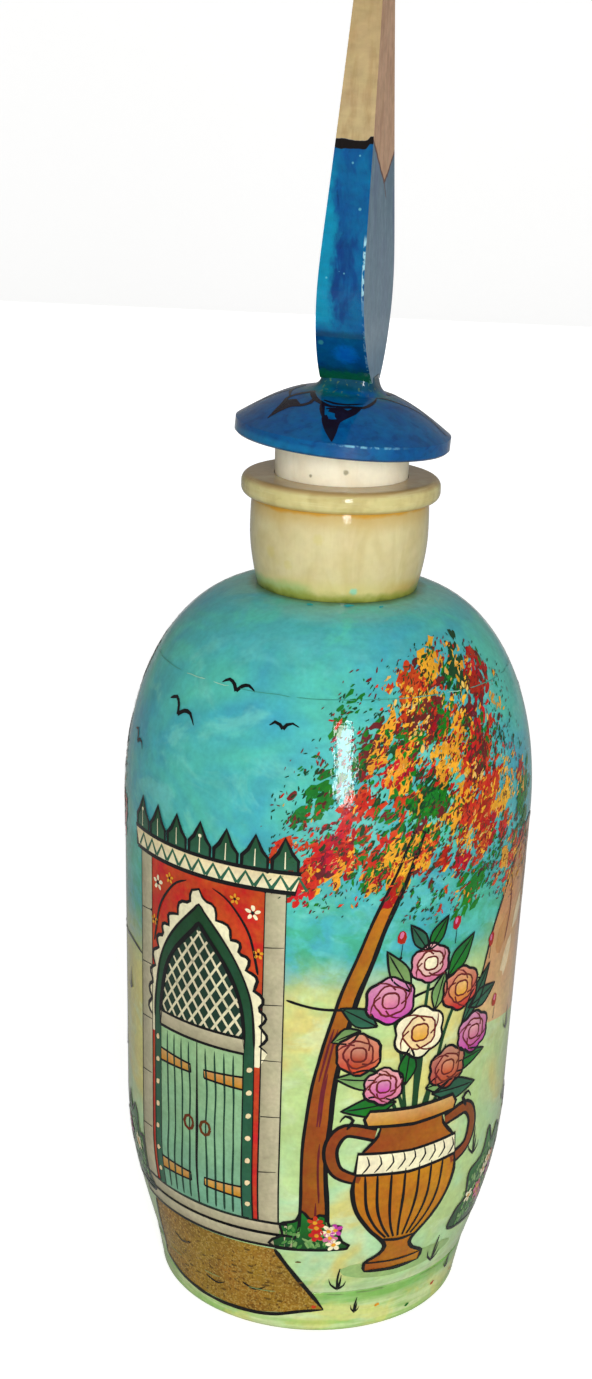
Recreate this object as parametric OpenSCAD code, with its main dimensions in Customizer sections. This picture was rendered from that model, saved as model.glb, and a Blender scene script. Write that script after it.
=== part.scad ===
// Turned bone bottle: foot ring, base disc, body tube, shoulder, neck and mouth ring,
// closed by a tapered stopper with a domed cap and a flat leaf finial.
// Millimetres, +Z up, origin at the centre of the foot, on the surface it stands on.
// The stopper is drawn seated. It lifts straight out along +Z.

/* [Foot] */
// Diameter of the foot where it stands
foot_d = 38.2; // [34:0.2:42]
// Diameter of the foot at the seam with the body
foot_top_d = 40.1; // [36:0.1:44]
// Height of the foot from the ground to the seam
foot_h = 6.4; // [5:0.1:10]
// Rounding of the foot's lower edge
foot_edge_r = 1.4; // [0.2:0.1:2]
// Clear opening through the foot, above the base disc
foot_bore_d = 24; // [18:0.5:26]
// Diameter of the disc that closes the foot
base_disc_d = 28; // [27:0.5:32]
// Thickness of the base disc
base_disc_t = 3; // [2:0.1:3.6]
// How far the base disc stands back from the ground
base_recess = 1.2; // [0.5:0.1:2]
// Length of the foot's spigot inside the body tube
foot_spigot_l = 4; // [2:0.5:8]

/* [Body] */
// Largest diameter of the body
body_d = 50; // [46:0.5:58]
// Height of the largest diameter above the ground
belly_z = 65; // [55:0.5:80]
// Diameter of the body at its foot seam
body_seam_d = 40.4; // [38:0.1:44]
// Diameter where the flare above the foot ends
body_low_d = 48.1; // [45:0.1:50]
// Height of the flare above the foot seam
flare_h = 20; // [10:0.5:30]
// Bore of the body tube
bore_d = 34; // [30:0.5:36]
// Chamfer on each side of a glued seam
seam_chamfer = 0.25; // [0:0.05:0.5]

/* [Shoulder] */
// Height of the seam between tube and shoulder
shoulder_seam_z = 82.7; // [81:0.1:85]
// Rise of the shoulder curve from the belly to the neck
shoulder_rise = 26; // [24:0.1:30]
// Fullness of the shoulder curve, 2 for an ellipse and more for a squarer shoulder
shoulder_fullness = 2.1; // [1.8:0.05:2.6]
// Length of the shoulder's spigot inside the tube
shoulder_spigot_l = 4; // [2:0.5:8]
// Opening through the shoulder's spigot
shoulder_bore_d = 26; // [22:0.5:28]
// Thickness of the shoulder round the neck
shoulder_t = 3.2; // [2.5:0.1:4]

/* [Neck] */
// Diameter of the neck where it meets the shoulder
neck_base_d = 19.3; // [18.6:0.1:20]
// Largest diameter of the barrel-shaped neck
neck_d = 21.3; // [20.5:0.1:24]
// Diameter of the neck under the mouth ring
neck_top_d = 21; // [20.5:0.1:23]
// Height of the neck between shoulder and mouth ring
neck_h = 10.7; // [9:0.1:16]
// Height of the neck's largest diameter above the shoulder
neck_belly_h = 7; // [4:0.1:8]
// Depth of the step round each tenon of the neck
tenon_step = 0.7; // [0.5:0.05:0.9]
// Length of the neck's upper tenon in the mouth ring
top_tenon_l = 1.2; // [0.8:0.1:1.6]

/* [Mouth ring] */
// Outer diameter of the mouth ring
mouth_d = 23.7; // [22.5:0.1:27]
// Height of the mouth ring
mouth_h = 2.6; // [2.4:0.1:4]
// Rounding of the mouth ring's outer edges
mouth_edge_r = 1; // [0.4:0.1:1.1]

/* [Stopper] */
// Diameter of the stopper at the mouth
plug_d = 15.8; // [14.5:0.1:16.2]
// Taper of the stopper to each side, in degrees
plug_taper = 1.5; // [0.5:0.1:3]
// Depth of the stopper below the mouth
plug_depth = 10; // [8:0.5:11]
// Height of the stopper that shows above the mouth, at its centre
plug_show = 4.1; // [3:0.1:8]
// Lean of the stopper's top face and of the cap on it, in degrees
cap_lean = 3.65; // [0:0.05:5]
// Sideways offset of the cap on the stopper
cap_offset = -0.1; // [-1:0.1:1]

/* [Cap] */
// Diameter of the cap
cap_d = 25.5; // [22:0.1:30]
// Height of the cap's rim
cap_rim_h = 1.7; // [1:0.1:3]
// Rise of the dome above the rim
cap_dome_h = 4.1; // [2:0.1:7]
// Swell of the dome, 0 for a straight cone and 1 for a round one
cap_dome_swell = 0.5; // [0:0.05:1]
// Rise of the cove from the dome to the finial
cap_cove_h = 1.6; // [0.5:0.1:3]
// Diameter of the cap's top, where the finial stands
cap_top_d = 8; // [7:0.1:10]
// Width of the cove round the finial
cap_cove_w = 1.2; // [0.5:0.1:2]

/* [Finial] */
// Length of the blade above the cap
blade_l = 61; // [45:0.5:75]
// Widest breadth of the blade
blade_w = 19.5; // [14:0.1:24]
// Breadth of the blade's foot
blade_foot_w = 5.4; // [4:0.1:7]
// Height of the widest breadth above the cap
blade_belly_h = 12; // [8:0.5:20]
// Breadth of the blade's tip
blade_tip_w = 2.4; // [1:0.1:4]
// Thickness of the blade at its foot
blade_t = 6.1; // [4:0.1:7]
// Thickness of the blade at its tip
blade_tip_t = 2; // [1:0.1:4]
// Turn of the blade about the upright, in degrees
blade_turn = 8.7; // [-45:0.1:45]
// Lean of the blade from the upright, in degrees
blade_lean = 1.2; // [-3:0.1:3]
// Sideways offset of the blade's foot on the cap
blade_offset = 0.2; // [-0.6:0.05:0.6]
// Diameter of the peg through the cap
peg_d = 2.5; // [1.5:0.1:3.5]
// Depth of the peg in the stopper and in the blade
peg_depth = 6; // [3:0.5:8]

/* [Fits] */
// Gap each side of a glued spigot, tenon, disc or peg
glue_gap = 0.05; // [0.02:0.01:0.1]
// Gap each side between the stopper and its seat
plug_gap = 0.08; // [0.03:0.01:0.1]

/* [Hidden] */
$fn = 96;
curve_steps = 16;
eps = 0.01;
foot_r = foot_d / 2;
foot_top_r = foot_top_d / 2;
foot_bore_r = foot_bore_d / 2;
base_disc_r = base_disc_d / 2;
body_r = body_d / 2;
body_seam_r = body_seam_d / 2;
body_low_r = body_low_d / 2;
bore_r = bore_d / 2;
neck_base_r = neck_base_d / 2;
neck_r = neck_d / 2;
neck_top_r = neck_top_d / 2;
mouth_r = mouth_d / 2;
plug_r = plug_d / 2;
cap_r = cap_d / 2;
cap_top_r = cap_top_d / 2;
peg_r = peg_d / 2;

// Heights of the stacked pieces above the ground
disc_top_z = base_recess + base_disc_t;
shoulder_z = belly_z + shoulder_rise;
neck_top_z = shoulder_z + neck_h;
mouth_z = neck_top_z + mouth_h;
plug_low_z = mouth_z - plug_depth;
cap_z = mouth_z + plug_show;

// The shoulder is a quarter of an oval that ends at the hole for the neck's tenon
low_tenon_r = neck_base_r - tenon_step;
top_tenon_r = neck_top_r - tenon_step;
neck_hole_r = low_tenon_r + glue_gap;
shoulder_run = body_r - neck_hole_r;
shoulder_bore_r = shoulder_bore_d / 2;
hollow_top_z = shoulder_z - shoulder_t;
hollow_round = shoulder_bore_r - neck_hole_r - tenon_step;
cap_h = cap_rim_h + cap_dome_h + cap_cove_h;

bone_white = [0.92, 0.88, 0.80];
dowel_tan = [0.80, 0.69, 0.54];
bone_cream = [0.86, 0.80, 0.63];
bone_green = [0.75, 0.72, 0.52];
ground_green = [0.68, 0.83, 0.58];
sky_green = [0.33, 0.74, 0.70];
cap_blue = [0.02, 0.36, 0.60];
blade_blue = [0.02, 0.42, 0.64];

// Radius of the stopper at a height; the seat is wider by plug_gap
function plug_r_at(z) = plug_r + (z - mouth_z) * tan(plug_taper);
function seat_r_at(z) = plug_r_at(z) + plug_gap;

// Points of a round or oval arc from one angle to another
function arc(centre, rx, rz, from, to, steps) = [
    for (i = [0:steps])
        let (a = from + (to - from) * i / steps)
        centre + [rx * cos(a), rz * sin(a)]
];

// The shoulder's outline from one height to another, and the sweep angle at a height
function shoulder_angle(z) =
    asin(min(1, pow((z - belly_z) / shoulder_rise, shoulder_fullness / 2)));
function shoulder_outline(from_z, to_z) = [
    for (i = [0:curve_steps])
        let (
            low = shoulder_angle(from_z),
            a = low + (shoulder_angle(to_z) - low) * i / curve_steps,
            power = 2 / shoulder_fullness
        )
        [
            neck_hole_r + shoulder_run * pow(cos(a), power),
            belly_z + shoulder_rise * pow(sin(a), power)
        ]
];

// All the points of a curve but its first, which the curve before it has already placed
function after_first(points) = [for (i = [1:len(points) - 1]) points[i]];

// Points of a side that slopes out from its low end and turns upright at its high end
function flare(low, high, steps) = [
    for (i = [0:steps])
        let (t = i / steps)
        [low[0] + (high[0] - low[0]) * sin(90 * t), low[1] + (high[1] - low[1]) * t]
];

// Cubic curve through its end points, led by two guide points
function bezier(p0, p1, p2, p3, steps) = [
    for (i = [0:steps])
        let (t = i / steps, u = 1 - t)
        u * u * u * p0 + 3 * u * u * t * p1 + 3 * u * t * t * p2 + t * t * t * p3
];

module turned(profile) {
    rotate_extrude() polygon(profile);
}

// A tapered hole along Z with the stopper's seat taper
module seat_bore(low_z, high_z) {
    translate([0, 0, low_z - eps])
        cylinder(
            h = high_z - low_z + 2 * eps,
            r1 = seat_r_at(low_z - eps),
            r2 = seat_r_at(high_z + eps)
        );
}

// Frame of the leaning cap, with its origin at the middle of the cap's underside
module in_cap_frame() {
    translate([cap_offset, 0, cap_z]) rotate([0, cap_lean, 0]) children();
}

module peg_hole() {
    in_cap_frame()
        translate([0, 0, -peg_depth - glue_gap])
            cylinder(h = cap_h + 2 * (peg_depth + glue_gap), r = peg_r + glue_gap);
}

module base_disc() {
    color(bone_cream)
        translate([0, 0, base_recess])
            cylinder(h = base_disc_t, r = base_disc_r);
}

module foot_ring() {
    rebate_r = base_disc_r + glue_gap;
    spigot_r = bore_r - glue_gap;
    color(ground_green)
        turned(concat(
            [[rebate_r, 0]],
            arc([foot_r - foot_edge_r, foot_edge_r], foot_edge_r, foot_edge_r, -90, 0, 6),
            [
                [foot_top_r, foot_h - seam_chamfer],
                [foot_top_r - seam_chamfer, foot_h],
                [spigot_r, foot_h],
                [spigot_r, foot_h + foot_spigot_l],
                [foot_bore_r, foot_h + foot_spigot_l],
                [foot_bore_r, disc_top_z],
                [rebate_r, disc_top_z]
            ]
        ));
}

module body_tube() {
    side = shoulder_outline(belly_z, shoulder_seam_z - seam_chamfer);
    color(sky_green)
        turned(concat(
            [
                [bore_r, foot_h],
                [body_seam_r - seam_chamfer, foot_h]
            ],
            flare([body_seam_r, foot_h + seam_chamfer], [body_low_r, foot_h + flare_h], curve_steps),
            side,
            [
                [side[curve_steps][0] - 2 * seam_chamfer, shoulder_seam_z],
                [bore_r, shoulder_seam_z]
            ]
        ));
}

module shoulder_cap() {
    spigot_r = bore_r - glue_gap;
    spigot_z = shoulder_seam_z - shoulder_spigot_l;
    side = shoulder_outline(shoulder_seam_z + seam_chamfer, shoulder_z);
    round_c = [shoulder_bore_r - hollow_round, hollow_top_z - hollow_round];
    color(sky_green)
        turned(concat(
            [
                [shoulder_bore_r, spigot_z],
                [spigot_r, spigot_z],
                [spigot_r, shoulder_seam_z],
                [side[0][0] - seam_chamfer, shoulder_seam_z]
            ],
            side,
            [[neck_hole_r, hollow_top_z]],
            arc(round_c, hollow_round, hollow_round, 90, 0, 8)
        ));
}

module neck_collar() {
    tenon_z = hollow_top_z;
    color(bone_cream)
        difference() {
            turned(concat(
                [
                    [0, tenon_z],
                    [low_tenon_r, tenon_z],
                    [low_tenon_r, shoulder_z]
                ],
                flare([neck_base_r, shoulder_z], [neck_r, shoulder_z + neck_belly_h], 8),
                after_first(arc(
                    [neck_top_r, shoulder_z + neck_belly_h],
                    neck_r - neck_top_r, neck_h - neck_belly_h, 0, 90, 6
                )),
                [
                    [top_tenon_r, neck_top_z],
                    [top_tenon_r, neck_top_z + top_tenon_l],
                    [0, neck_top_z + top_tenon_l]
                ]
            ));
            seat_bore(tenon_z, neck_top_z + top_tenon_l);
        }
}

module mouth_ring() {
    socket_r = top_tenon_r + glue_gap;
    socket_h = top_tenon_l + glue_gap;
    corner_x = mouth_r - mouth_edge_r;
    color(bone_green)
        difference() {
            turned(concat(
                [[0, neck_top_z]],
                arc([corner_x, neck_top_z + mouth_edge_r], mouth_edge_r, mouth_edge_r, -90, 0, 8),
                arc([corner_x, mouth_z - mouth_edge_r], mouth_edge_r, mouth_edge_r, 0, 90, 8),
                [[0, mouth_z]]
            ));
            seat_bore(neck_top_z, mouth_z);
            translate([0, 0, neck_top_z - eps]) cylinder(h = socket_h + eps, r = socket_r);
        }
}

module stopper_plug() {
    high_z = cap_z + cap_r * tan(cap_lean);
    color(bone_white)
        difference() {
            translate([0, 0, plug_low_z])
                cylinder(
                    h = high_z - plug_low_z,
                    r1 = plug_r_at(plug_low_z),
                    r2 = plug_r_at(high_z)
                );
            in_cap_frame() cylinder(h = cap_h, r = cap_r);
            peg_hole();
        }
}

module stopper_cap() {
    cove_r = cap_top_r + cap_cove_w;
    color(cap_blue)
        difference() {
            in_cap_frame()
                turned(concat(
                    [
                        [0, 0],
                        [cap_r - seam_chamfer, 0],
                        [cap_r, seam_chamfer]
                    ],
                    [
                        for (i = [0:curve_steps])
                            let (
                                t = i / curve_steps,
                                rise = cap_dome_swell * sin(90 * t) + (1 - cap_dome_swell) * t
                            )
                            [cap_r - (cap_r - cove_r) * t, cap_rim_h + cap_dome_h * rise]
                    ],
                    after_first(arc([cove_r, cap_h], -cap_cove_w, -cap_cove_h, 90, 0, 6)),
                    [[0, cap_h]]
                ));
            peg_hole();
        }
}

module finial_peg() {
    color(dowel_tan)
        in_cap_frame()
            translate([0, 0, -peg_depth])
                cylinder(h = cap_h + 2 * peg_depth, r = peg_r);
}

// Outline of one half of the blade, foot to tip, breadth along x and length along y
function blade_half() =
    let (
        foot = [blade_foot_w / 2, 0],
        belly = [blade_w / 2, blade_belly_h],
        tip = [blade_tip_w / 2, blade_l - blade_tip_w / 2]
    )
    concat(
        [[blade_foot_w / 2, -blade_t]],
        bezier(
            foot,
            [foot[0] + (belly[0] - foot[0]) * 0.45, blade_belly_h * 0.18],
            [belly[0], blade_belly_h * 0.55],
            belly,
            curve_steps
        ),
        after_first(bezier(
            belly,
            [belly[0], blade_belly_h * 1.4],
            [belly[0] - (belly[0] - tip[0]) * 0.35, blade_belly_h * 1.9],
            tip,
            curve_steps
        )),
        after_first(arc([0, tip[1]], tip[0], tip[0], 0, 90, 6))
    );

module blade_outline() {
    half = blade_half();
    last = len(half) - 1;
    polygon(concat(half, [for (i = [1:last]) [-half[last - i][0], half[last - i][1]]]));
}

// Front view of the blade's taper: thick at the foot, thin at the tip
module blade_taper() {
    polygon([
        [-blade_t / 2, -blade_t],
        [blade_t / 2, -blade_t],
        [blade_t / 2, 0],
        [blade_tip_t / 2, blade_l + eps],
        [-blade_tip_t / 2, blade_l + eps],
        [-blade_t / 2, 0]
    ]);
}

module finial_blade() {
    color(blade_blue)
        difference() {
            in_cap_frame()
                translate([blade_offset, 0, cap_h])
                    rotate([0, blade_lean - cap_lean, 0])
                        rotate([0, 0, -blade_turn])
                            intersection() {
                                rotate([90, 0, 90])
                                    translate([0, 0, -blade_t / 2])
                                        linear_extrude(blade_t) blade_outline();
                                rotate([90, 0, 0])
                                    translate([0, 0, -blade_w / 2 - eps])
                                        linear_extrude(blade_w + 2 * eps) blade_taper();
                            }
            in_cap_frame()
                translate([0, 0, cap_h - 3 * blade_t])
                    cylinder(h = 3 * blade_t, r = blade_l);
            peg_hole();
        }
}

base_disc();
foot_ring();
body_tube();
shoulder_cap();
neck_collar();
mouth_ring();
stopper_plug();
stopper_cap();
finial_peg();
finial_blade();
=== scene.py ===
import math
import random

import bmesh
import bpy
from bpy.props import FloatProperty, FloatVectorProperty, IntProperty, PointerProperty
from mathutils import Matrix, Vector, noise
from mathutils.bvhtree import BVHTree


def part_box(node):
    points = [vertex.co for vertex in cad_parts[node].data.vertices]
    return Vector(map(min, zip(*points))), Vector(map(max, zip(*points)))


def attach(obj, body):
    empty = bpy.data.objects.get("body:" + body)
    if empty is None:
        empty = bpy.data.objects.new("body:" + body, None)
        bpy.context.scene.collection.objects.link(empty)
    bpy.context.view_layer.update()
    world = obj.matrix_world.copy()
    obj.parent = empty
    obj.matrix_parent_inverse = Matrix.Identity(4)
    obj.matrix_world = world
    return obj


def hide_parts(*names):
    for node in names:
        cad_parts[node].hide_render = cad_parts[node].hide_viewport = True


bl_info = {
    "name": "Painted bone bottle",
    "version": (1, 0, 0),
    "blender": (4, 5, 0),
    "location": "3D View > Sidebar > Bottle",
    "description": "Lacquered paint, bone and a garden picture for a turned bone bottle",
    "category": "Object",
}

MM = 0.001

# Blender seeds its noise by the clock unless it is told otherwise
HAND_SEED = 5

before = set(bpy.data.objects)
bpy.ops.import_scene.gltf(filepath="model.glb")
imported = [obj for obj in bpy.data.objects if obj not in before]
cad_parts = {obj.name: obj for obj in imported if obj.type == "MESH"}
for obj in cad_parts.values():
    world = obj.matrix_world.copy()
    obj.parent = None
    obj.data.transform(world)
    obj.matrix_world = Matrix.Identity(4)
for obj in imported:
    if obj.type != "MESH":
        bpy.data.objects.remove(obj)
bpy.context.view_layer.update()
noise.seed_set(HAND_SEED)

# Photograph frame in pixels and Blender's sensor in millimetres
PHOTO_LONG_SIDE = 1379
SENSOR = 36.0

# Nodes whose outsides make up the painted side of the bottle, from the ground to the neck
SIDE_NODES = ("foot_ring", "body_tube", "shoulder_cap")


def srgb(red, green, blue):
    """A colour as a paint chart gives it, 0 to 255, in the linear values that shaders use."""
    def linear(value):
        value /= 255.0
        return value / 12.92 if value <= 0.04045 else ((value + 0.055) / 1.055) ** 2.4
    return (linear(red), linear(green), linear(blue))


def colour_property(name, red, green, blue):
    return FloatVectorProperty(
        name=name,
        description=f"Colour of the paint called {name.lower()}",
        subtype="COLOR",
        size=3,
        min=0.0,
        max=1.0,
        default=srgb(red, green, blue),
    )


def length_property(name, description, millimetres):
    return FloatProperty(
        name=name, description=description, default=millimetres * MM, unit="LENGTH", precision=5
    )


def angle_property(name, description, degrees):
    return FloatProperty(
        name=name, description=description, default=math.radians(degrees), subtype="ANGLE"
    )


class BottlePaints(bpy.types.PropertyGroup):
    """The paints on the bottle"""

    ink: colour_property("Ink", 12, 12, 14)
    sky: colour_property("Sky", 84, 192, 174)
    sky_blue: colour_property("Sky blue", 66, 166, 184)
    sky_green: colour_property("Sky green", 62, 168, 116)
    meadow: colour_property("Meadow", 186, 214, 140)
    meadow_mint: colour_property("Mint", 176, 222, 176)
    meadow_yellow: colour_property("Straw", 222, 206, 112)
    hill: colour_property("Hill", 190, 120, 52)
    hill_light: colour_property("Hill light", 226, 186, 132)
    cream: colour_property("Cream", 244, 236, 196)
    stone: colour_property("Stone", 168, 160, 128)
    scarlet: colour_property("Scarlet", 198, 54, 24)
    vermilion: colour_property("Vermilion", 196, 62, 34)
    crimson: colour_property("Crimson", 168, 18, 12)
    maroon: colour_property("Maroon", 104, 30, 30)
    amber: colour_property("Amber", 228, 160, 38)
    straw_leaf: colour_property("Pale leaf", 222, 178, 92)
    leaf: colour_property("Leaf", 22, 118, 34)
    leaf_dark: colour_property("Dark leaf", 22, 66, 34)
    bottle_green: colour_property("Bottle green", 44, 98, 72)
    teal: colour_property("Teal", 116, 172, 140)
    ochre: colour_property("Ochre", 196, 128, 16)
    rust: colour_property("Rust", 140, 66, 20)
    gilt: colour_property("Gilt", 150, 112, 34)
    magenta: colour_property("Magenta", 196, 62, 164)
    rose: colour_property("Rose", 214, 112, 150)
    cap_blue: colour_property("Cap blue", 0, 80, 138)
    cap_teal: colour_property("Cap teal", 0, 124, 164)
    cap_dark: colour_property("Cap shadow", 14, 62, 84)
    bone: colour_property("Bone", 226, 212, 156)
    neck: colour_property("Neck bone", 216, 204, 154)
    bone_white: colour_property("White bone", 252, 243, 216)
    bone_green: colour_property("Greenish bone", 214, 202, 140)
    bone_brown: colour_property("Brown bone", 184, 146, 92)


class BottleSizes(bpy.types.PropertyGroup):
    """Sizes of the brushwork and of the view"""

    ink_width: length_property("Ink line", "Width of a plain ink line", 0.4)
    paint_step: length_property("Paint step", "Height of each coat of paint over the last", 0.02)
    cell: length_property("Cell", "Longest flat stretch in a patch of paint", 1.2)
    wobble: length_property("Wobble", "How far the hand strays from the drawing", 0.28)
    dab: length_property("Leaf dab", "Length of a dab of autumn leaf", 1.05)
    dabs: IntProperty(name="Dabs", description="Dabs of leaf in a tree's crown", default=2300)
    clumps: IntProperty(name="Clumps", description="Solid clumps of leaf in a crown", default=92)
    view_distance: length_property("View distance", "Camera's distance in front of the axis", 261.0)
    view_height: length_property("View height", "Camera's height above the ground", 155.85)
    view_aside: length_property("View aside", "Camera's distance to the right of the axis", 8.86)
    view_pitch: angle_property("View pitch", "How far the camera looks down", 16.72)
    view_roll: angle_property("View roll", "How far the camera leans", 2.166)
    view_yaw: angle_property("View yaw", "How far the camera turns to the right", -2.911)
    focal_pixels: FloatProperty(
        name="Focal length", description="Focal length in photograph pixels", default=2237.07
    )


class Finish:
    """One procedural finish, built node by node on Object coordinates."""

    def __init__(self, name):
        self.material = bpy.data.materials.new(name)
        self.material.use_nodes = True
        self.nodes = self.material.node_tree.nodes
        self.links = self.material.node_tree.links
        self.shader = self.nodes["Principled BSDF"]
        self.place = self.nodes.new("ShaderNodeTexCoord")

    def node(self, kind, inputs=None, **settings):
        made = self.nodes.new(kind)
        for key, value in settings.items():
            setattr(made, key, value)
        for key, value in (inputs or {}).items():
            self.plug(made.inputs[key], value)
        return made

    def plug(self, socket, value):
        if isinstance(value, bpy.types.NodeSocket):
            self.links.new(value, socket)
        elif socket.type == "RGBA" and len(value) == 3:
            socket.default_value = (*value, 1.0)
        else:
            socket.default_value = value

    def maths(self, operation, first, second=0.0, third=0.0, clamp=False):
        inputs = {0: first, 1: second, 2: third}
        return self.node("ShaderNodeMath", inputs, operation=operation, use_clamp=clamp).outputs[0]

    def stretched(self, stretch, turn=(0.0, 0.0, 0.0), centre=(0.0, 0.0, 0.0)):
        """Object coordinates, moved to a centre, turned and stretched."""
        inputs = {"Vector": self.place.outputs["Object"], "Location": centre, "Rotation": turn}
        moved = self.node("ShaderNodeMapping", inputs, vector_type="TEXTURE")
        scaled = self.node("ShaderNodeMapping", {"Vector": moved.outputs[0], "Scale": stretch})
        return scaled.outputs[0]

    def noise(self, size, detail=3.0, stretch=(1.0, 1.0, 1.0), roughness=0.55, distortion=0.0):
        """Smooth noise whose blotches are about size millimetres across."""
        inputs = {
            "Vector": self.stretched(stretch),
            "Scale": 1.0 / (size * MM),
            "Detail": detail,
            "Roughness": roughness,
            "Distortion": distortion,
        }
        return self.node("ShaderNodeTexNoise", inputs).outputs["Fac"]

    def specks(self, size, fill, stretch=(1.0, 1.0, 1.0)):
        """Round specks about size millimetres apart, fill of it wide."""
        inputs = {"Vector": self.stretched(stretch), "Scale": 1.0 / (size * MM)}
        cells = self.node("ShaderNodeTexVoronoi", inputs)
        return self.span(cells.outputs["Distance"], fill * 0.5, fill * 0.3)

    def span(self, value, low, high, smooth=True):
        """0 below low and 1 above high, or the other way round."""
        inputs = {"Value": value, "From Min": low, "From Max": high}
        kind = "SMOOTHSTEP" if smooth else "LINEAR"
        return self.node("ShaderNodeMapRange", inputs, interpolation_type=kind, clamp=True).outputs[0]

    def below(self, value, limit):
        return self.maths("LESS_THAN", value, limit)

    def varied(self, paint, size, hue, light, stretch=(1.0, 1.0, 1.0)):
        """A paint whose hue and lightness drift over patches of a size."""
        drift = self.noise(size, 3.0, stretch)
        other = self.noise(size * 0.8, 3.0, (stretch[2], stretch[0], stretch[1]))
        inputs = {
            "Color": paint,
            "Hue": self.spread(drift, 0.5 - hue, 0.5 + hue),
            "Value": self.spread(other, 1.0 - light, 1.0 + light),
        }
        return self.node("ShaderNodeHueSaturation", inputs).outputs["Color"]

    def spread(self, value, low, high):
        """Noise made to run from low to high."""
        inputs = {"Value": value, "From Min": 0.3, "From Max": 0.7, "To Min": low, "To Max": high}
        return self.node("ShaderNodeMapRange", inputs, clamp=True).outputs[0]

    def flat(self, vector=None):
        """Object coordinates with no height, for the distance from the axis."""
        x, y, z = self.axes(vector)
        return self.node("ShaderNodeCombineXYZ", {"X": x, "Y": y}).outputs[0]

    def spot(self, place, size):
        """1 within a small round spot at a place in millimetres, and 0 outside it."""
        inputs = {0: self.place.outputs["Object"], 1: [value * MM for value in place]}
        away = self.node("ShaderNodeVectorMath", inputs, operation="DISTANCE").outputs["Value"]
        away = self.maths("MULTIPLY_ADD", self.noise(0.4), 0.5 * size * MM, away)
        return self.span(away, size * MM, 0.55 * size * MM)

    def wide_face(self, local):
        """1 on the finial's two broad faces and 0 on its narrow edge."""
        inputs = {"Rotation": (0.0, 0.0, math.radians(8.7)), "Vector": self.facing()}
        turned = self.node("ShaderNodeMapping", inputs).outputs[0]
        x, y, z = self.axes(turned)
        return self.span(self.maths("ABSOLUTE", x), 0.74, 0.8)

    def facing(self):
        return self.node("ShaderNodeNewGeometry").outputs["True Normal"]

    def blend(self, factor, first, second, mode="MIX"):
        inputs = {0: factor, 6: first, 7: second}
        made = self.node("ShaderNodeMix", inputs, data_type="RGBA", blend_type=mode)
        return made.outputs[2]

    def ramp(self, factor, stops):
        made = self.node("ShaderNodeValToRGB", {"Fac": factor})
        elements = made.color_ramp.elements
        while len(elements) < len(stops):
            elements.new(0.5)
        for element, (position, colour) in zip(elements, stops):
            element.position = position
            element.color = (*colour, 1.0)
        return made.outputs["Color"]

    def axes(self, vector=None):
        vector = self.place.outputs["Object"] if vector is None else vector
        split = self.node("ShaderNodeSeparateXYZ", {0: vector})
        return split.outputs["X"], split.outputs["Y"], split.outputs["Z"]

    def bump(self, height, depth, strength=1.0):
        """A relief of depth millimetres."""
        inputs = {"Height": height, "Distance": depth * MM, "Strength": strength}
        return self.node("ShaderNodeBump", inputs).outputs["Normal"]

    def lacquer(self, gloss=1.0, waves=0.045):
        """Clear varnish over the paint, brushed on round the bottle."""
        self.shader.inputs["Roughness"].default_value = 0.5
        self.shader.inputs["Specular IOR Level"].default_value = 0.05
        self.shader.inputs["Coat Weight"].default_value = gloss
        self.shader.inputs["Coat Roughness"].default_value = 0.07
        self.shader.inputs["Coat IOR"].default_value = 1.33
        brushed = self.noise(1.6, 3.0, (1.0, 1.0, 0.5), 0.6)
        ridges = self.noise(0.3, 2.0, (0.16, 0.16, 1.0), 0.5)
        height = self.maths("MULTIPLY_ADD", ridges, 0.14, brushed)
        self.plug(self.shader.inputs["Coat Normal"], self.bump(height, waves))

    def colour(self, socket):
        self.plug(self.shader.inputs["Base Color"], socket)
        return self.material


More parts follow.
